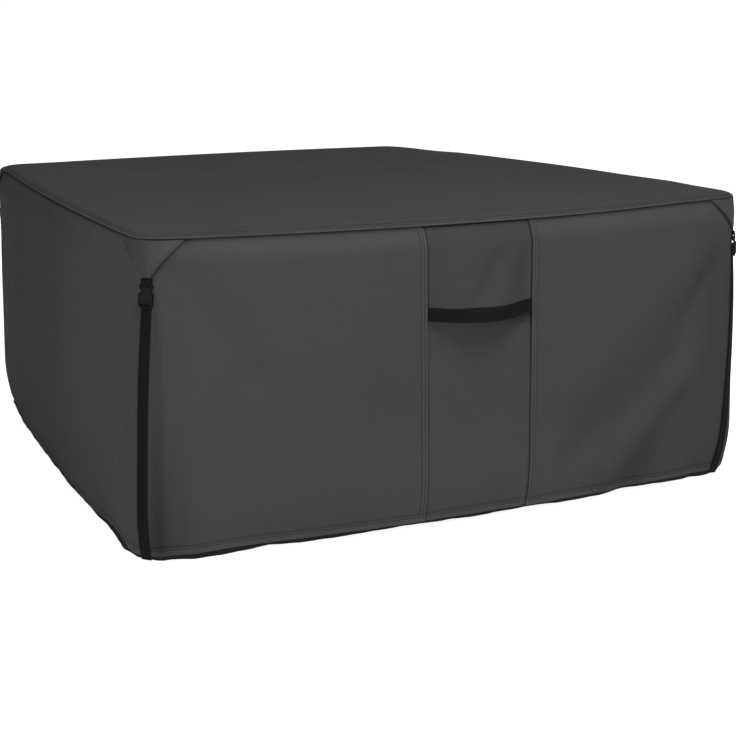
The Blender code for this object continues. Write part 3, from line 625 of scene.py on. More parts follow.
def makeWebbing(name, values):
    material, tree, shader = startMaterial(name, values["fixed"])
    pattern = addNode(tree, "TexCoord").outputs
    inputs = {"Vector": pattern["UV"], "Pitch": values["pitch"], "Yarn": values["yarn"]}
    ribs = useGroup(tree, ribGroup, inputs)
    fine = mottled(tree, pattern["Object"], noiseScale["yarnTone"], 0.10)
    # the grooves between ribs are painted dark, as painted shade
    groove = ranged(tree, ribs["Groove"], 0.0, 0.7, values["paintedGrooveShade"], 1.0)
    colourAndDust(tree, shader, values, product(tree, groove, fine))
    tree.links.new(product(tree, fine, values["roughness"]), shader.inputs["Roughness"])
    tree.links.new(bumped(tree, ribs["Height"], values["relief"]), shader.inputs["Normal"])
    return material


# moulded plastic: a fine spark-eroded grain, faint scuffs and a duller bloom
def makePlastic(name, values):
    material, tree, shader = startMaterial(name, values["fixed"])
    place = addNode(tree, "TexCoord").outputs["Object"]
    bloom = mottled(tree, place, noiseScale["bloom"], 0.12)
    colourAndDust(tree, shader, values, bloom)
    tree.links.new(product(tree, bloom, values["roughness"]), shader.inputs["Roughness"])
    stretched = addNode(tree, "Mapping", {"Vector": place, "Scale": (220.0, 220.0, 30.0)}).outputs[0]
    scuffs = ranged(tree, noiseAt(tree, stretched, noiseScale["scuffs"], 3.0), 0.62, 0.68, 0.0, 1.0)
    scuffed = bumped(tree, scuffs, 0.00002)
    grain = noiseAt(tree, place, noiseScale["moulded"], 2.0)
    tree.links.new(bumped(tree, grain, 0.00003, 0.6, scuffed), shader.inputs["Normal"])
    return material


coverCloth = makeCloth(
    "coverCloth",
    {
        "colour": (0.046, 0.0445, 0.0448),
        "dust": (0.14, 0.135, 0.13, 1.0),
        "dustAmount": 0.05,
        "thread": 0.00062,
        "relief": 0.00012,
        "threadTone": 0.05,
        "gapTone": 0.72,
        "mottle": 0.06,
        "grain": 0.05,
        "crumple": 0.0022,
        "roughness": 0.66,
        "seamTone": 0.55,
        "fixed": {"Specular IOR Level": 0.14, "Sheen Weight": 0.01, "Sheen Roughness": 0.5},
    },
)
clothBacking = makeCloth(
    "clothBacking",
    {
        "colour": (0.030, 0.030, 0.031),
        "dust": (0.12, 0.12, 0.12, 1.0),
        "dustAmount": 0.03,
        "thread": 0.00062,
        "relief": 0.00005,
        "threadTone": 0.02,
        "gapTone": 0.92,
        "mottle": 0.10,
        "grain": 0.06,
        "crumple": 0.0018,
        "roughness": 0.42,
        "seamTone": 1.0,
        "fixed": {"Specular IOR Level": 0.45},
    },
)
strapWebbing = makeWebbing(
    "strapWebbing",
    {
        "colour": (0.0058, 0.0057, 0.0058),
        "dust": (0.08, 0.08, 0.075, 1.0),
        "dustAmount": 0.03,
        "pitch": 0.0046,
        "yarn": 0.0013,
        "paintedGrooveShade": 0.02,
        "relief": 0.00040,
        "roughness": 0.72,
        "fixed": {"Specular IOR Level": 0.10, "Sheen Weight": 0.01, "Sheen Roughness": 0.4},
    },
)
hemBlack = makeWebbing(
    "hemBlack",
    {
        "colour": (0.0060, 0.0060, 0.0063),
        "dust": (0.08, 0.08, 0.075, 1.0),
        "dustAmount": 0.03,
        "pitch": 0.0008,
        "yarn": 0.0016,
        "paintedGrooveShade": 0.60,
        "relief": 0.00008,
        "roughness": 0.60,
        "fixed": {"Specular IOR Level": 0.16},
    },
)
bucklePlastic = makePlastic(
    "bucklePlastic",
    {
        "colour": (0.0055, 0.0055, 0.0058),
        "dust": (0.10, 0.10, 0.09, 1.0),
        "dustAmount": 0.08,
        "roughness": 0.50,
        "fixed": {"Specular IOR Level": 0.11},
    },
)
threadYarn = {
    "dustAmount": 0.05,
    "pitch": 0.0006,
    "yarn": 0.0004,
    "paintedGrooveShade": 0.70,
    "relief": 0.00004,
    "roughness": 0.50,
    "fixed": {"Specular IOR Level": 0.35},
}
greyThread = makeWebbing(
    "greyThread", {**threadYarn, "colour": (0.040, 0.039, 0.040), "dust": (0.13, 0.13, 0.12, 1.0)}
)
blackThread = makeWebbing(
    "blackThread", {**threadYarn, "colour": (0.012, 0.012, 0.012), "dust": (0.10, 0.10, 0.10, 1.0)}
)
print("materials:", len(bpy.data.materials))


# mesh helpers
def meshPiece(name, points, faces, materials, slot, patternUv, backFrom=None, shade=None):
    mesh = bpy.data.meshes.new(name)
    mesh.from_pydata(points.tolist(), [], faces if isinstance(faces, list) else faces.tolist())
    for material in materials:
        mesh.materials.append(material)
    layer = mesh.uv_layers.new(name="pattern")
    corner = np.empty(len(mesh.loops), np.int32)
    mesh.loops.foreach_get("vertex_index", corner)
    layer.data.foreach_set("uv", patternUv[corner].astype(np.float32).ravel())
    # painted shade and painted highlight, with some dirt, kept on the points
    if shade is not None:
        attribute = mesh.attributes.new("paintedLightAndDirt", "FLOAT", "POINT")
        attribute.data.foreach_set("value", shade.astype(np.float32))
    if backFrom is not None and len(materials) > 1:
        # faces from backFrom on are the coated back of the cloth
        which = np.zeros(len(mesh.polygons), np.int32)
        which[backFrom[0] : backFrom[1]] = 1
        mesh.polygons.foreach_set("material_index", which)
    mesh.shade_smooth()
    mesh.set_sharp_from_angle(angle=math.radians(50))
    mesh.update()
    piece = bpy.data.objects.new(name, mesh)
    bpy.context.scene.collection.objects.link(piece)
    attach(piece, "root")
    return piece


# a closed sheet between two grids of points: outer faces, inner faces, and a rim of quads round both
def slabPiece(name, outer, inner, materials, slot, patternUv, shade=None):
    columns, rows = outer.shape[:2]
    index = np.arange(columns * rows).reshape(columns, rows)
    a, b, c, d = index[:-1, :-1], index[:-1, 1:], index[1:, 1:], index[1:, :-1]
    front = np.stack([a, b, c, d], axis=-1).reshape(-1, 4)
    back = front[:, ::-1] + columns * rows
    rim = np.concatenate([index[:, 0], index[-1, 1:], index[-2::-1, -1], index[0, -2:0:-1]])
    nextRim = np.roll(rim, -1)
    edge = np.stack([rim, nextRim, nextRim + columns * rows, rim + columns * rows], axis=-1)
    faces = np.concatenate([front, back, edge])
    points = np.concatenate([outer.reshape(-1, 3), inner.reshape(-1, 3)])
    uv = np.concatenate([patternUv.reshape(-1, 2)] * 2)
    span = (len(front), len(front) + len(back))
    dark = None if shade is None else np.concatenate([shade.ravel(), np.zeros(shade.size)])
    return meshPiece(name, points, faces, materials, slot, uv, span, dark)


face = clothForm["thickness"] / 2
clothMade = (clothForm["thickness"], [coverCloth, clothBacking], "cover_cloth")


# a sheet of cloth on a surface, lifted along its normals; raised is the relief of its outer face, and
# made gives its thickness, its materials and its slot
def clothPiece(name, surface, columns, rows, lift=0.0, raised=None, shade=None, made=clothMade):
    thickness, materials, slot = made
    u, drop = np.meshgrid(columns, rows, indexing="ij")
    base, normal = surface(u, drop), normalsOf(surface, u, drop)
    middle = lift(u, drop) if callable(lift) else np.full(u.shape, lift)
    top = middle + thickness / 2 + (0.0 if raised is None else raised(u, drop))
    outer = base + normal * top[..., None]
    inner = base + normal * (middle - thickness / 2)[..., None]
    dark = None if shade is None else shade(u, drop)
    pattern = np.stack([u, -drop], axis=-1)
    return slabPiece(name, outer, inner, materials, slot, pattern, dark)


# seams
seamForm = {
    "topWidth": 0.0108,
    "topLines": (0.0046, 0.0092),  # stitch lines, inwards from the lip
    "topRaise": 0.0012,
    "hemRaise": 0.0009,
    "hemLines": (0.0140, 0.0205),  # above the edge of the hem
    "felledWidth": 0.0145,
    "felledRaise": 0.0013,
    "felledLines": (0.0068, 0.0125),  # outwards from the edge of the outer panels
    "felledStart": (0.002, 0.012),
    "grooveDepth": 0.00075,
    "grooveWidth": 0.0013,
    "threadRise": 0.0001,
}
# tones as shares of the full seam's: above 0 is painted shade, with some dirt along the stitch lines, below 0
# is painted highlight
toneForm = {
    "lineWidth": 0.0016,
    "edge": 0.6,
    "paintedRidgeLight": 0.45,
    "underTop": (1.75, 0.0048),  # strength and width, as in the next
    "underLap": (1.0, 0.0035),
    "leftLap": 0.8,
    "underHood": (0.3, 0.8, 0.226, 0.020),  # strength, more at its right, start and depth
    "hood": 0.26,
    "shoulder": 0.30,
    "low": 0.24,
    "uncovered": (1.2, 0.024),  # by a strap that has moved away from its corner
    # painted shade beside the near strap: strength, distance left of the middle, width
    "hollow": (0.62, 0.774, 0.013),
    # and strength, more of it low down, distance, width, more width low down
    "broadHollow": (0.06, 0.60, 0.768, 0.024, 0.026),
    "gussetSide": ((0.75, 0.005), (0.4, 0.015)),
    # painted shade towards the front's right corner
    "far": 0.42,
    # painted shade along troughs as u0, drop0, u1, drop1, width
    "swag": (0.27, (0.700, 0.150, 0.508, 0.392, 0.032), (0.508, 0.392, 0.245, 0.580, 0.034)),
    "lowTrough": (0.38, (0.610, 0.520, 0.430, 0.740, 0.060)),
    "lowerTrough": (0.32, (0.490, 0.640, 0.375, 0.740, 0.052)),
    "paintedLight": 0.56,
    "farLeft": 0.22,
    "topPaintedLight": 0.34,
    "gussetEdge": 0.8,
    "gussetLeft": 0.35,
    "gussetPaintedLight": 0.40,
}


def bell(x, width):
    return np.exp(-((x / width) ** 2))


# a raised band between 0 and width, pulled down along each stitch line
def bandRelief(distance, width, height, lines):
    relief = height * (1 - smoothStep(distance, width - 0.0012, width + 0.0004))
    for line in lines:
        relief = relief - seamForm["grooveDepth"] * bell(distance - line, seamForm["grooveWidth"])
    return relief


def hemRelief(u, drop):
    band = bandRelief(wallDrop - drop, clothForm["hemHeight"], seamForm["hemRaise"], seamForm["hemLines"])
    return band + 0 * u


# the cloth is painted dark along a band's stitch lines and its edge, partly dirt and partly painted shade,
# and painted pale between as a highlight on the raised band
def bandShade(distance, width, lines):
    dark = toneForm["edge"] * bell(distance - width, toneForm["lineWidth"])
    for line in lines:
        dark = np.maximum(dark, bell(distance - line, toneForm["lineWidth"]))
    within = 1 - smoothStep(distance, width - 0.0012, width + 0.0004)
    inside = smoothStep(distance, -0.0006, 0.0012) * within
    return (1 + toneForm["paintedRidgeLight"]) * dark - toneForm["paintedRidgeLight"] * inside


# painted shadow close under the top's seam
def topSeamShade(drop):
    strength, width = toneForm["underTop"]
    return strength * bell(drop, width)


def hemShade(u, drop):
    band = bandShade(wallDrop - drop, clothForm["hemHeight"], seamForm["hemLines"])
    return band + topSeamShade(drop) + 0 * u


# walls
panelForm = {"half": 0.139, "lap": 0.016, "fold": 0.010, "hoodDrop": 0.219}
wallRows = pieceSteps(
    (-clothForm["topLap"], 0.030, 18),
    (0.030, 0.650, 64),
    (0.650, hemTurn - 0.002, 8),
    (hemTurn - 0.002, wallDrop, 34),
)
arcColumns = np.linspace(bowHalf, wallHalf - clothForm["cornerGap"] / 2, 15)
plainColumns = np.concatenate([-arcColumns[::-1], np.linspace(-bowHalf, bowHalf, 150)[1:-1], arcColumns])
stitchRuns = {"grey": {}, "black": {}}


# remembers a line of stitching on a surface: its points and outward normals
def layRun(piece, surface, u, drop, lift, thread="grey"):
    u, drop = np.broadcast_arrays(np.asarray(u, float), np.asarray(drop, float))
    normal = normalsOf(surface, u, drop)
    stitchRuns[thread].setdefault(piece, []).append((surface(u, drop) + normal * lift, normal))


# thread lies in the groove of a band that is raised by this much
def threadLift(raised):
    return face + raised - seamForm["grooveDepth"] + seamForm["threadRise"]


hemLift = threadLift(seamForm["hemRaise"])


# the left wall is painted paler towards the front as painted light, and darker towards its far end as painted
# shade
def leftShade(u, drop):
    paintedLight = toneForm["paintedLight"] * smoothStep(u, 0.08, 0.60) * (1 - 0.7 * smoothStep(drop, 0.32, 0.66))
    paintedLight = paintedLight * (1 - 0.8 * smoothStep(u, 0.70, 0.79) * smoothStep(drop, 0.09, 0.16))
    return hemShade(u, drop) - paintedLight + toneForm["farLeft"] * smoothStep(-u, 0.05, 0.55)


# painted shade where the front right strap has moved away from the corner
def uncoveredShade(fromCorner, drop):
    strength, width = toneForm["uncovered"]
    return strength * bell(fromCorner, width) * smoothStep(drop, 0.13, 0.20)


def rightShade(u, drop):
    return hemShade(u, drop) + uncoveredShade(u + wallHalf, drop)


for wall, shade in (("right", rightShade), ("back", hemShade), ("left", leftShade)):
    piece = clothPiece(wall + "Cloth", wallSkin(wall), plainColumns, wallRows, 0.0, hemRelief, shade)
    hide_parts(wall + "_wall")
    along = np.linspace(-wallHalf + 0.006, wallHalf - 0.006, 700)
    for line in seamForm["hemLines"]:
        layRun(wall + "Stitching", wallSkin(wall), along, wallDrop - line, hemLift)


gussetForm = {
    "halfTop": 0.106,
    "halfTip": 0.013,
    "start": 0.0006,
    "drop": 0.0870,
    "standoff": 0.0018,
    "lift": 0.0035,
    "bandWidth": 0.0085,
    "bandRaise": 0.0006,
    "edgeLine": 0.0045,  # stitch line, in from the free side
    "threadRise": 0.0003,
}


# a felled band along each side of the panels that the centre panel lies between
def frontRelief(u, drop):
    fromEdge = np.abs(u) - panelForm["half"]
    felled = bandRelief(fromEdge, seamForm["felledWidth"], seamForm["felledRaise"], seamForm["felledLines"])
    return np.maximum(hemRelief(u, drop), felled * smoothStep(drop, *seamForm["felledStart"]))


# the front is painted paler over its shoulder, a painted highlight where it faces up, and towards the hem, as
# painted light
def paintedFrontLight(u, drop):
    shoulder = toneForm["shoulder"] * smoothStep(drop, 0.004, 0.012) * (1 - smoothStep(drop, 0.024, 0.062))
    low = toneForm["low"] * smoothStep(drop, 0.44, 0.66) * smoothStep(u, -0.75, -0.62)
    return shoulder + low * (1 - smoothStep(u, 0.20, 0.45))


# beside the near strap the cloth falls into a hollow, and painted shade darkens it
def hollowShade(u, drop):
    strength, place, width = toneForm["hollow"]
    hollow = strength * bell(u + place, width) * smoothStep(drop, 0.09, 0.18)
    low = smoothStep(drop, 0.30, 0.68)
    strength, more, place, width, widening = toneForm["broadHollow"]
    broad = (strength + more * low) * bell(u + place, width + widening * low)
    return hollow + broad * smoothStep(drop, 0.09, 0.20)


# the front left gusset shades the cloth along its free side
def gussetSideShade(u, drop):
    taper = (gussetForm["halfTop"] - gussetForm["halfTip"]) / gussetForm["drop"]
    half = gussetForm["halfTop"] - taper * drop
    beside = np.clip((u + wallHalf - half) * 0.68, 0.0, None)
    shadow = sum(strength * bell(beside, width) for strength, width in toneForm["gussetSide"])
    return shadow * (u < 0) * (1 - smoothStep(drop, 0.084, 0.104))


# painted shade towards the right corner and along the troughs of the folds, over the seams' painted tones
def frontShade(u, drop):
    fromEdge = np.abs(u) - panelForm["half"]
    felled = bandShade(fromEdge, seamForm["felledWidth"], seamForm["felledLines"][:1])
    far = toneForm["far"] * smoothStep(u, 0.58, 0.77) * smoothStep(drop, 0.06, 0.20)
    strength, upper, lower = toneForm["swag"]
    troughs = strength * np.maximum(lineMound(u, drop, *upper), lineMound(u, drop, *lower))
    for name in ("lowTrough", "lowerTrough"):
        strength, line = toneForm[name]
        troughs = troughs + strength * lineMound(u, drop, *line)
    total = hemShade(u, drop) + felled * smoothStep(drop, *seamForm["felledStart"]) + far + troughs
    total = total + uncoveredShade(wallHalf - u, drop) - paintedFrontLight(u, drop)
    return total + hollowShade(u, drop) + gussetSideShade(u, drop)


bandEnd = panelForm["half"] + 0.018
frontFlat = pieceSteps((panelForm["half"], bandEnd, 20), (bandEnd, bowHalf, 72))
frontHalf = np.concatenate([frontFlat[:-1], arcColumns])
for name, node, columns in (
    ("frontLeftCloth", "front_left_panel", -frontHalf[::-1]),
    ("frontRightCloth", "front_right_panel", frontHalf),
):
    piece = clothPiece(name, wallSkin("front"), columns, wallRows, 0.0, frontRelief, frontShade)
    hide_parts(node)
    way = np.sign(columns.mean())
    ends = sorted((columns[0], columns[-1]), key=abs)
    along = np.linspace(ends[0] + way * 0.004, ends[1] - way * 0.006, 300)
    for line in seamForm["hemLines"]:
        layRun("frontStitching", wallSkin("front"), along, wallDrop - line, hemLift)
    down = np.linspace(0.004, wallDrop - 0.002, 360)
    for line in seamForm["felledLines"]:
        edge = way * (panelForm["half"] + line)
        layRun("frontStitching", wallSkin("front"), edge, down, threadLift(seamForm["felledRaise"]))


# the centre panel lies two layers in behind the hood, and one layer in below it
def centreLift(u, drop):
    below = smoothStep(drop, panelForm["hoodDrop"] + 0.052, panelForm["hoodDrop"] + 0.150)
    return -clothForm["layer"] * (2 - below) + 0 * u


def centreRelief(u, drop):
    return hemRelief(u, drop) * (np.abs(u) < panelForm["half"] - 0.0006)


# painted shadow close under the lapped seams, more so at the left one
def lapShade(u):
    strength, width = toneForm["underLap"]
    return strength * bell(panelForm["half"] - np.abs(u), width) * (1.0 + toneForm["leftLap"] * (u < 0))


# painted shadow under the hood's webbing, more at its right, with the front's painted tones
def centreShade(u, drop):
    strength, more, start, depth = toneForm["underHood"]
    underHood = strength + more * smoothStep(u, -0.04, 0.135)
    underHood = underHood * bell(np.clip(drop - start, 0.0, None), depth)
    return hemShade(u, drop) + lapShade(u) - paintedFrontLight(u, drop) + underHood


reach = panelForm["half"] + panelForm["lap"]
centreSteps = pieceSteps((-0.1398, -0.126, 10), (-0.126, 0.126, 40), (0.126, 0.1398, 10))
centreColumns = np.concatenate([[-reach], centreSteps, [reach]])
piece = clothPiece(
    "frontCentreCloth", wallSkin("front"), centreColumns, wallRows, centreLift, centreRelief, centreShade
)
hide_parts("front_centre_panel")
for line in seamForm["hemLines"]:
    along = np.linspace(-0.137, 0.137, 120)
    layRun("frontStitching", wallSkin("front"), along, wallDrop - line, hemLift - clothForm["layer"])
print("walls done")

# vent hood
hoodForm = {
    "half": 0.138,
    "cut": 0.153,
    "sewn": 0.010,  # cut this much wider at each side
    "turned": 0.004,  # and longer under the webbing
    "droop": 0.08,
    "bulge": 0.052,
    "power": 1.5,
    "tapeHeight": 0.032,
    "tapeHalf": 0.1355,
    # soft troughs and ridges as u0, drop0, u1, drop1, width, height
    "folds": (
        (0.058, 0.070, -0.050, 0.219, 0.024, -0.0060),
        (0.022, 0.060, -0.090, 0.200, 0.022, 0.0016),
        (0.132, 0.090, 0.094, 0.219, 0.023, -0.0075),
        (0.092, 0.060, 0.026, 0.219, 0.018, 0.0026),
        (-0.060, 0.080, -0.090, 0.219, 0.028, 0.0010),
        (-0.118, 0.060, -0.122, 0.219, 0.012, -0.0018),
    ),
    "foldStart": (0.02, 0.09),
    "foldEnd": (0.8, 0.172, 0.205),  # share of their height lost towards the webbing, between these drops
}


# swells out between the two lapped seams as 1 - (u / half)^2 times a power of the drop
def hoodSurface(u, drop):
    across = np.clip(1 - (u / hoodForm["half"]) ** 2, 0.0, None)
    down = np.clip(drop / panelForm["hoodDrop"], 0.0, None)
    bulge = hoodForm["bulge"] * across * down ** hoodForm["power"]
    lost, first, last = hoodForm["foldEnd"]
    held = np.clip(across * 3, 0.0, 1.0) * smoothStep(drop, *hoodForm["foldStart"])
    held = held * (1 - lost * smoothStep(drop, first, last))
    for u0, drop0, u1, drop1, width, height in hoodForm["folds"]:
        bulge = bulge + height * lineMound(u, drop, u0, drop0, u1, drop1, width) * held
    bulge = np.clip(bulge, 0.0, None)
    return skin("front", u, drop) + bulge[..., None] * np.array([0.0, -1.0, -hoodForm["droop"]])


# the hood is painted darker all over as painted shade, with painted shadow under the lapped seams and the
# top's seam
def hoodShade(u, drop):
    return lapShade(u) + topSeamShade(drop) + toneForm["hood"]


hoodRows = pieceSteps((-clothForm["topLap"], 0.010, 8), (0.010, panelForm["hoodDrop"], 52))
hoodColumns = pieceSteps(
    (-hoodForm["cut"], -0.139, 4),
    (-0.139, -0.126, 12),
    (-0.126, 0.126, 72),
    (0.126, 0.139, 12),
    (0.139, hoodForm["cut"], 4),
)
hood = clothPiece("ventHoodCloth", hoodSurface, hoodColumns, hoodRows, -clothForm["layer"], shade=hoodShade)
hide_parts("vent_hood")


# webbing along the hood's edge: ribs stand across it, and both selvedges are thinner
def ribRelief(along, fromEdge, pitch, height):
    rounded = height * (1 - np.clip(fromEdge / 0.0016, 0.0, 1.0))
    return height * np.abs(np.sin(np.pi * along / pitch)) ** 0.8 - rounded


ventForm = {
    "pitch": 0.0046,
    "ribHeight": 0.00055,
    "thickness": 0.0016,
    "selvedge": 0.002,
    "columns": 473,
    "lines": (0.0028, 0.0292),  # stitch lines, below its upper edge
    "threadRise": 0.0002,
}
tapeRows = panelForm["hoodDrop"] - pieceSteps(
    (hoodForm["tapeHeight"], hoodForm["tapeHeight"] - ventForm["selvedge"], 2),
    (hoodForm["tapeHeight"] - ventForm["selvedge"], ventForm["selvedge"], 5),
    (ventForm["selvedge"], 0.0, 2),
)


def ventRelief(u, drop):
    edge = np.minimum(drop - tapeRows[0], tapeRows[-1] - drop)
    return ribRelief(u, edge, ventForm["pitch"], ventForm["ribHeight"])


ventWebbing = clothPiece(
    "ventWebbing",
    hoodSurface,
    np.linspace(-hoodForm["tapeHalf"], hoodForm["tapeHalf"], ventForm["columns"]),
    tapeRows,
    raised=ventRelief,
    made=(ventForm["thickness"], [strapWebbing], "black_webbing"),
)
# its ribs run across the strip, so the pattern is turned a quarter
layer = ventWebbing.data.uv_layers[0].data
turned = np.empty(len(layer) * 2, np.float32)
layer.foreach_get("uv", turned)
layer.foreach_set("uv", turned.reshape(-1, 2)[:, ::-1].ravel())
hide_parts("vent_tape")
for line in ventForm["lines"]:
    along = np.linspace(-hoodForm["tapeHalf"] + 0.002, hoodForm["tapeHalf"] - 0.002, 160)
    lift = ventForm["thickness"] / 2 + ventForm["threadRise"]
    layRun("ventStitching", hoodSurface, along, tapeRows[0] + line, lift, "black")
print("vent hood done")

# top
topRings = pieceSteps((0.0, 0.0132, 24), (0.0132, 0.034, 7), (0.034, 0.056, 3))
topScales = np.linspace(1.0, 0.0, 22)[1:-1]


# rings of points from the lip to the middle, over all four walls' upper edges
def topRing(inwards, lift):
    drop = np.full(plainColumns.shape, -inwards)
    loops = []
    for wall in wallNames:
        normal = normalsOf(wallSkin(wall), plainColumns, np.minimum(drop, -2e-4))
        loops.append(skin(wall, plainColumns, drop) + lift * normal)
    return np.concatenate(loops)


def makeTop():
    layers, dark = [], []
    lifts = (clothForm["layer"] + face, clothForm["layer"] - face)
    for lift, raised in zip(lifts, (1.0, 0.0)):
        rings = []
        for inwards in topRings:
            dark.append(raised * bandShade(inwards, seamForm["topWidth"], seamForm["topLines"]))
            band = bandRelief(inwards, seamForm["topWidth"], seamForm["topRaise"], seamForm["topLines"])
            rings.append(topRing(inwards, lift + raised * band))
        edge = topRing(topRings[-1], 0.0)
        for scale in topScales:
            ring = edge * (scale, scale, 1.0)
            ring[:, 2] = topHeight(ring[:, 0], ring[:, 1]) + lift
            rings.append(ring)
            dark.append(0.0)
        layers.append(np.stack(rings, axis=0))
    depth, count = layers[0].shape[:2]
    middles = [[0.0, 0.0, coverForm["topPlane"] + lift] for lift in lifts]
    points = np.concatenate([layers[0].reshape(-1, 3), layers[1].reshape(-1, 3), middles])
    index = np.arange(depth * count).reshape(depth, count)
    after = np.roll(index, -1, axis=1)
    front = np.stack([index[:-1], after[:-1], after[1:], index[1:]], axis=-1).reshape(-1, 4)
    back = front[:, ::-1] + depth * count
    rim = np.stack([after[0], index[0], index[0] + depth * count, after[0] + depth * count], axis=-1)
    size = 2 * depth * count
    caps = [(index[-1, i], after[-1, i], size) for i in range(count)]
    backCaps = [(after[-1, i] + depth * count, index[-1, i] + depth * count, size + 1) for i in range(count)]
    faces = front.tolist() + caps + back.tolist() + backCaps + rim.tolist()
    span = (len(front) + count, 2 * (len(front) + count))
    # painted light towards the front
    paintedLight = toneForm["topPaintedLight"] * smoothStep(-points[:, 1], -0.50, 0.75)
    paintedLight = paintedLight * (1 - 0.7 * smoothStep(points[:, 0], 0.1, 0.7))
    shade = np.concatenate([np.repeat(dark, count), [0.0, 0.0]]) - paintedLight
    uv = points[:, :2].copy()
    piece = meshPiece("topCloth", points, faces, [coverCloth, clothBacking], "cover_cloth", uv, span, shade)
    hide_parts("top_panel")
    return piece


topCloth = makeTop()
along = np.linspace(-wallHalf + 0.001, wallHalf - 0.001, 700)
for line in seamForm["topLines"]:
    for wall in wallNames:
        lift = clothForm["layer"] + threadLift(seamForm["topRaise"])
        layRun("topStitching", wallSkin(wall), along, -line, lift)
print("top done")

# tape inside the hem
tapeForm = {
    "thickness": 0.0016,
    "up": 0.012,
    "down": 0.010,
    "behindPanel": (0.003, 0.090),  # beyond the centre panel's laps, it comes out by one layer
    "moreInside": 0.7,  # layers further in, times how straight it hangs
    "crinkle": 0.00048,
    "crinkleWaves": ((0.041, 2.4, 0.4), (0.067, 4.4, 0.8), (0.118, 1.3, 1.0), (0.210, 0.6, 1.0)),
    "crinkleFrom": (0.0005, 0.008),
    "flatEnd": (0.060, 0.030),
    "wallPhase": 2.2,
    "rows": (0.0, 0.2, 0.4, 0.52, 0.64, 0.76, 0.88, 1.0),
    "columns": 320,
    # depth below the hem's edge, as (share of the wall's half-length, depth)
    "front": (
        (-0.93, 0.014), (-0.80, 0.019), (-0.71, 0.014), (-0.66, 0.0105), (-0.56, 0.0145),
        (-0.42, 0.0125), (-0.26, 0.008), (0.00, 0.012), (0.12, 0.010), (0.20, 0.008),
        (0.37, 0.0135), (0.55, 0.008), (0.74, 0.0135), (0.90, 0.016),
    ),
    "right": ((-0.80, 0.017), (-0.40, 0.006), (0.05, 0.011), (0.50, 0.005), (0.80, 0.016)),
    "back": ((-0.75, 0.014), (-0.30, 0.006), (0.20, 0.010), (0.60, 0.005), (0.85, 0.018)),
    "left": ((-0.80, 0.016), (-0.35, 0.006), (0.15, 0.012), (0.55, 0.006), (0.85, 0.018)),
}


def makeHemTape(wall):
    shares, depths = zip((-1.0, tapeForm["down"]), *tapeForm[wall], (1.0, tapeForm["down"]))

    def below(u, share):
        return share * (tapeForm["up"] + np.interp(u / wallHalf, shares, depths)) - tapeForm["up"]

    def surface(u, share):
        return skin(wall, u, wallDrop + below(u, share))

    def lift(u, share):
        first, last = tapeForm["behindPanel"]
        behindPanel = 1 - smoothStep(np.abs(u), reach + first, reach + last)
        further = tapeForm["moreInside"] * walls[wall]["tapeHang"]
        inside = -clothForm["layer"] * (1 + behindPanel * (wall == "front") + further)
        first, last = tapeForm["flatEnd"]
        free = 1 - smoothStep(np.abs(u), wallHalf - first, wallHalf - last)
        waves = rippleAlong(u, tapeForm["crinkleWaves"], tapeForm["wallPhase"] * walls[wall]["turns"])
        free = free * smoothStep(below(u, share), *tapeForm["crinkleFrom"])
        return inside + tapeForm["crinkle"] * waves * free

    middle = np.linspace(-bowHalf, bowHalf, tapeForm["columns"])[1:-1]
    columns = np.concatenate([-arcColumns[::-1], middle, arcColumns])
    made = (tapeForm["thickness"], [hemBlack], "hem_tape")
    piece = clothPiece(wall + "HemTape", surface, columns, np.array(tapeForm["rows"]), lift, made=made)
    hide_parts(wall + "_hem_tape")


for wall in wallNames:
    makeHemTape(wall)
print("hem tape done")


# corner gussets
def makeGusset(corner):
    start, end = gussetForm["start"], gussetForm["drop"]
    bandWidth, lines = gussetForm["bandWidth"], (gussetForm["edgeLine"],)

    def halfAt(drop):
        share = (drop - start) / (end - start)
        return gussetForm["halfTop"] + (gussetForm["halfTip"] - gussetForm["halfTop"]) * share

    def surface(share, drop):
        return cornerSkin(corner, share * halfAt(drop), drop)

    def lift(share, drop):
        free = gussetForm["lift"] * np.abs(share) ** 3 * np.sin(np.pi * np.clip(drop / end, 0.0, 1.0))
        return gussetForm["standoff"] + face + free

    def fromEdge(share, drop):
        return (1 - np.abs(share)) * halfAt(drop)

    def relief(share, drop):
        return bandRelief(fromEdge(share, drop), bandWidth, gussetForm["bandRaise"], lines)

    # painted shade along the free edges and stitch lines; the near one is painted paler towards its right as
    # painted light, and the painted shade of its left seam is fainter
    def shade(share, drop):
        inwards = fromEdge(share, drop)
        edge = toneForm["gussetEdge"] * bandShade(inwards, bandWidth, lines) + bell(inwards, 0.0012)
        if corner:
            return edge
        paintedPaler = toneForm["gussetPaintedLight"] * smoothStep(share, -0.10, 0.25)
        return edge * np.where(share < 0, toneForm["gussetLeft"], 1.0) - paintedPaler

    columns = pieceSteps((-1, -0.84, 14), (-0.84, 0.84, 26), (0.84, 1, 14))
    rows = np.linspace(start, end, 26)
    piece = clothPiece(f"gusset{corner + 1}Cloth", surface, columns, rows, lift, relief, shade)
    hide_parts(f"gusset_{corner + 1}")
    drop = np.linspace(0.003, end - 0.002, 60)
    for way in (-1, 1):
        share = way * (1 - gussetForm["edgeLine"] / halfAt(drop))
        above = (lift(share, drop) + face + gussetForm["threadRise"])[:, None]
        layRun("gussetStitching", surface, share, drop, above)
    return piece


gussets = [makeGusset(corner) for corner in range(4)]
print("gussets done")

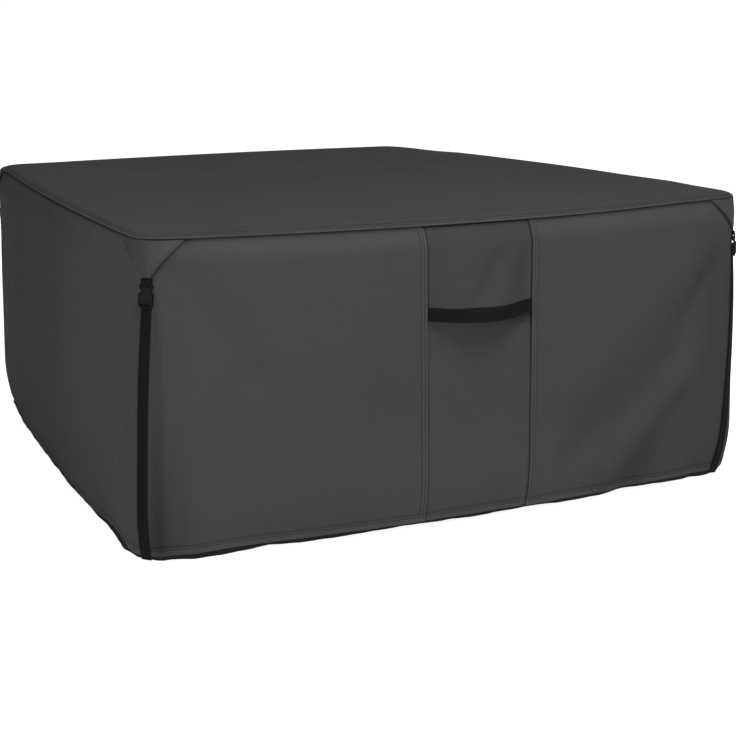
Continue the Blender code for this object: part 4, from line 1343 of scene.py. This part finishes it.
# corner straps
strapForm = {
    "width": 0.026,
    "thickness": 0.0016,
    "back": 0.0013,
    "buckleMiddle": 0.1265,
    "buckleReach": 0.0335,
    "maleBar": 0.0235,  # above the buckle's middle
    "femaleBar": 0.0225,  # below it
    "barLow": 0.0036,
    "barHigh": 0.0062,
    "barClear": 0.0006,
    "driftFade": 0.004,
    "pitch": 0.0046,
    "ribHeight": 0.00055,
    "step": 0.00066,
    # the loop: gap under the gusset's tip, straight part by the bar, ease at the back, opening at the top
    "tipGap": 0.0007,
    "loopLead": 0.006,
    "ease": 0.0004,
    "loopOpen": 0.0030,
    # the strap: lift over the cloth and the hem's band, and where it leaves the cloth for the bar
    "clothLift": 0.0008,
    "hemClimb": (0.022, 0.012),
    "belowBuckle": 0.05,
    "leaves": 0.165,
    "strapLead": 0.007,
    "endLead": 0.005,
    "flat": 0.605,
    "loopFlat": 0.050,
}
maleBar = strapForm["buckleMiddle"] - strapForm["maleBar"]
femaleBar = strapForm["buckleMiddle"] + strapForm["femaleBar"]


def buckleFrame(corner):
    angle = corner * math.pi / 2 - 3 * math.pi / 4
    out = np.array([math.cos(angle), math.sin(angle), 0.0])
    above = cornerSkin(corner, 0.0, strapForm["buckleMiddle"] - strapForm["buckleReach"])
    below = cornerSkin(corner, 0.0, strapForm["buckleMiddle"] + strapForm["buckleReach"])
    up = unit(above - below)
    across = unit(np.cross(up, out))
    return across, up, np.cross(across, up), (above + below) / 2


# webbing along a path of (drop, lift) points, resampled in even steps and drifting off the diagonal
def makeStrap(name, node, corner, path):
    path = np.asarray(path, float)
    run = runOf(path)
    along = np.linspace(0.0, run[-1], int(run[-1] / strapForm["step"]))
    drop, lift = np.interp(along, run, path[:, 0]), np.interp(along, run, path[:, 1])
    across, up, out, centre = buckleFrame(corner)
    levelOut = np.array([out[0], out[1], 0.0]) / math.hypot(out[0], out[1])
    shift, slope = strapShift(corner, drop)
    turned = (shift / coverForm["cornerRadius"])[:, None]
    away = levelOut * np.cos(turned) + across * np.sin(turned)
    standoff = coverForm["driftStandoff"] * smoothStep(np.abs(shift), 0.0, strapForm["driftFade"])
    onCloth = cornerSkin(corner, shift, drop) + (lift + standoff)[:, None] * away
    fromMiddle, reachIn = strapForm["buckleMiddle"] - drop, strapForm["buckleReach"]
    byBuckle = centre + fromMiddle[:, None] * up + lift[:, None] * out
    nearBuckle = 1 - smoothStep(np.abs(fromMiddle), reachIn - 0.001, reachIn + 0.004)
    middle = onCloth + (byBuckle - onCloth) * nearBuckle[:, None]
    tangent = unit(np.gradient(middle, axis=0))
    wide = unit(across * np.cos(turned) - levelOut * np.sin(turned) + slope[:, None] * up)
    normal = np.cross(tangent, wide)
    # thinner towards both selvedges, with ribs across
    shares = np.array([-1.0, -0.96, -0.86, -0.45, 0.0, 0.45, 0.86, 0.96, 1.0])
    thin = np.interp(np.abs(shares), (0.0, 0.86, 0.96, 1.0), (1.0, 1.0, 0.78, 0.45))
    rib = strapForm["ribHeight"] * (np.abs(np.sin(np.pi * along / strapForm["pitch"])) ** 0.8 - 0.5)
    height = (strapForm["thickness"] / 2 + rib[:, None]) * thin[None, :]
    sideways = shares * strapForm["width"] / 2
    line = middle[:, None, :] + sideways[None, :, None] * wide[:, None, :]
    offset = normal[:, None, :] * height[..., None]
    pattern = np.stack(np.broadcast_arrays(sideways[None, :], along[:, None]), axis=-1)
    piece = slabPiece(name, line + offset, line - offset, [strapWebbing], "black_webbing", pattern)
    # its faces have to point outwards
    shell = bmesh.new()
    shell.from_mesh(piece.data)
    if shell.calc_volume(signed=True) < 0:
        bmesh.ops.reverse_faces(shell, faces=shell.faces)
        shell.to_mesh(piece.data)
    shell.free()
    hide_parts(node)
    return piece


# from behind a buckle's bar, round it and to its front
def hookPath(barDrop, way):
    clear = strapForm["barClear"] + strapForm["thickness"] / 2
    radius = (strapForm["barHigh"] - strapForm["barLow"]) / 2 + clear
    middle = (strapForm["barHigh"] + strapForm["barLow"]) / 2
    turns = np.linspace(0.0, math.pi, 25)
    return [(barDrop + way * radius * math.sin(a), middle - radius * math.cos(a)) for a in turns]


def loopPath():
    form = strapForm
    back, top = form["back"] + form["thickness"] / 2, gussetForm["drop"] + form["tipGap"]
    looped, lead = hookPath(maleBar, 1), maleBar - form["loopLead"]
    front = looped[-1][1] - form["ease"]
    behind = [(top, back + form["ease"]), (lead, back + form["ease"])]
    return [*behind, *looped, (lead, front), (top, back + form["loopOpen"])]


def strapPath():
    form = strapForm
    back = form["back"] + form["thickness"] / 2
    low, high = (hemTurn - above for above in form["hemClimb"])
    drops = np.linspace(wallDrop + tapeForm["down"], form["buckleMiddle"] + form["belowBuckle"], 60)
    path = [(d, back + form["clothLift"] * (1 + float(smoothStep(d, low, high)))) for d in drops]
    path += [(form["leaves"], back + form["clothLift"]), (femaleBar + form["strapLead"], back + form["ease"])]
    hook = hookPath(femaleBar, -1)
    return [*path, *hook, (femaleBar + form["endLead"], hook[-1][1] + form["ease"])]


loops, straps = [], []
for corner in range(4):
    loops.append(makeStrap(f"strapLoop{corner + 1}", f"strap_loop_{corner + 1}", corner, loopPath()))
    straps.append(makeStrap(f"strap{corner + 1}", f"strap_{corner + 1}", corner, strapPath()))
print("straps done")

# buckles
buckleForm = {"edge": 0.00045, "steps": 2, "profile": 0.6, "sharp": 28, "flat": 2, "shadeSharp": 35}


# the moulded halves keep the solids' form, with their sharp edges rounded over
def makeBuckle(node, name):
    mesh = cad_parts[node].data.copy()
    mesh.name = name
    shell = bmesh.new()
    shell.from_mesh(mesh)
    bmesh.ops.remove_doubles(shell, verts=shell.verts, dist=1e-5)
    flat, turn = math.radians(buckleForm["flat"]), math.radians(buckleForm["sharp"])
    bmesh.ops.dissolve_limit(shell, angle_limit=flat, verts=shell.verts, edges=shell.edges)
    sharp = [e for e in shell.edges if len(e.link_faces) == 2 and e.calc_face_angle(0.0) > turn]
    bmesh.ops.bevel(
        shell,
        geom=sharp,
        offset=buckleForm["edge"],
        segments=buckleForm["steps"],
        affect="EDGES",
        profile=buckleForm["profile"],
        clamp_overlap=True,
    )
    bmesh.ops.triangulate(shell, faces=shell.faces)
    shell.to_mesh(mesh)
    shell.free()
    mesh.materials.clear()
    mesh.materials.append(bucklePlastic)
    mesh.shade_smooth()
    mesh.set_sharp_from_angle(angle=math.radians(buckleForm["shadeSharp"]))
    piece = bpy.data.objects.new(name, mesh)
    bpy.context.scene.collection.objects.link(piece)
    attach(piece, "root")
    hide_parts(node)


for corner in range(1, 5):
    makeBuckle(f"buckle_male_{corner}", f"buckleProngs{corner}")
    makeBuckle(f"buckle_female_{corner}", f"buckleSocket{corner}")
print("buckles done")

# thread
threadForm = {
    "pitch": 0.0044,
    "length": 0.0034,
    "radius": 0.00030,
    "flattened": 1.3,
    "lean": 0.10,
    "rings": ((-0.42, 0.72), (0.0, 1.0), (0.42, 0.72)),  # place along it, and size
}


# one stitch is a small spindle: rings of four points whose radius follows a half sine, closed by its ends
def makeStitches(name, runs, material, slot):
    turns = np.arange(4) * math.pi / 2 + math.pi / 4
    template = [(-0.5, 0.0, 0.0)]
    for place, size in threadForm["rings"]:
        template += [(place, size * math.cos(a), size * math.sin(a)) for a in turns]
    template = np.array(template + [(0.5, 0.0, 0.0)])
    faces = [(0, 1 + (k + 1) % 4, 1 + k) for k in range(4)]
    for ring in (1, 5):
        faces += [(ring + k, ring + (k + 1) % 4, ring + 4 + (k + 1) % 4) for k in range(4)]
        faces += [(ring + k, ring + 4 + (k + 1) % 4, ring + 4 + k) for k in range(4)]
    faces += [(9 + k, 9 + (k + 1) % 4, 13) for k in range(4)]
    forward, sideways, upwards = (template[None, :, k : k + 1] for k in range(3))
    points = []
    for line, normal in runs:
        run = runOf(line)
        count = max(2, int(run[-1] / threadForm["pitch"]))
        at = (np.arange(count) + 0.5) * run[-1] / count
        ahead, behind = pickAlong(run, line, at + 0.0005), pickAlong(run, line, at - 0.0005)
        centre, out = pickAlong(run, line, at), pickAlong(run, normal, at)
        tangent = unit(ahead - behind)
        tangent = unit(tangent + threadForm["lean"] * unit(np.cross(out, tangent)))
        side = unit(np.cross(out, tangent))
        upright = np.cross(tangent, side)
        body = centre[:, None, :] + forward * threadForm["length"] * tangent[:, None, :]
        body = body + sideways * threadForm["radius"] * threadForm["flattened"] * side[:, None, :]
        body = body + upwards * threadForm["radius"] * upright[:, None, :]
        points.append(body.reshape(-1, 3))
    points = np.concatenate(points)
    copies = len(points) // len(template)
    allFaces = (np.array(faces)[None] + len(template) * np.arange(copies)[:, None, None]).reshape(-1, 3)
    pattern = np.tile(template[:, :2] * (threadForm["length"], threadForm["radius"]), (copies, 1))
    return meshPiece(name, points, allFaces, [material], slot, pattern[:, ::-1].copy())


stitching = {}
for thread, material, slot in (("grey", greyThread, "cover_cloth"), ("black", blackThread, "black_webbing")):
    for name, runs in stitchRuns[thread].items():
        stitching[name] = makeStitches(name, runs, material, slot)
print("stitching:", {name: len(piece.data.polygons) for name, piece in stitching.items()})

# floor and light
studio = {
    "floorGap": 0.002,
    "floorRadius": 14,
    "floorColour": (0.80, 0.80, 0.80, 1.0),
    "floorGlow": 0.90,
    "sky": 0.28,
    "seenSky": 1.1,
}


# a disc that the eye sees as plain white paper
def makeFloor():
    low = cadBox[0][2] - studio["floorGap"]
    turns = np.linspace(0.0, 2 * math.pi, 97)[:-1]
    radius = studio["floorRadius"]
    points = np.stack([radius * np.cos(turns), radius * np.sin(turns), np.full(96, low)], axis=-1)
    mesh = bpy.data.meshes.new("floor")
    mesh.from_pydata(points.tolist(), [], [list(range(96))])
    material, tree, shader = startMaterial("paleFloor", {"Roughness": 0.9, "Specular IOR Level": 0.1})
    shader.inputs["Base Color"].default_value = studio["floorColour"]
    shader.inputs["Emission Color"].default_value = (1.0, 1.0, 1.0, 1.0)
    seen = addNode(tree, "LightPath").outputs["Is Camera Ray"]
    tree.links.new(mathNode(tree, "MULTIPLY", seen, studio["floorGlow"]), shader.inputs["Emission Strength"])
    mesh.materials.append(material)
    floor = bpy.data.objects.new("floor", mesh)
    bpy.context.scene.collection.objects.link(floor)


# soft boxes as place, aim, width, height and power
softBoxes = {
    "frontKey": ((0.3, -2.9, 3.2), (0.0, -0.6, -0.1), 2.6, 1.6, 127.0),
    "nearCorner": ((-2.0, -1.9, -0.1), (-0.85, -0.8, -0.35), 0.6, 0.6, 3.2),
    "leftFill": ((-2.6, -1.9, 0.1), (-0.82, -0.5, -0.25), 1.1, 0.7, 12.5),
    "lowFront": ((0.6, -4.6, -0.3), (0.1, -0.8, -0.5), 2.6, 0.8, 48.0),
    "rightFill": ((3.6, 2.9, -0.42), (0.8, 0.2, -0.38), 1.8, 0.5, 62.0),
    "backFill": ((0.9, 4.4, -0.42), (0.0, 0.8, -0.38), 2.4, 0.5, 80.0),
}


def makeLights():
    for name, (place, aim, width, height, power) in softBoxes.items():
        data = bpy.data.lights.new(name, "AREA")
        data.shape = "RECTANGLE"
        data.size, data.size_y, data.energy = width, height, power
        lamp = bpy.data.objects.new(name, data)
        bpy.context.scene.collection.objects.link(lamp)
        lamp.location = place
        away = np.array(aim) - np.array(place)
        lamp.rotation_mode = "QUATERNION"
        lamp.rotation_quaternion = Vector(away).to_track_quat("-Z", "Y")
    world = bpy.data.worlds.new("studioWorld")
    world.use_nodes = True
    tree = world.node_tree
    sky = tree.nodes["Background"]
    sky.inputs["Color"].default_value = (1.0, 1.0, 1.0, 1.0)
    seen = addNode(tree, "LightPath").outputs["Is Camera Ray"]
    strength = addNode(tree, "MapRange", {"Value": seen, 3: studio["sky"], 4: studio["seenSky"]}).outputs[0]
    tree.links.new(strength, sky.inputs["Strength"])
    bpy.context.scene.world = world


makeFloor()
makeLights()
bpy.context.scene.view_settings.view_transform = "Standard"
print("floor and lights done")
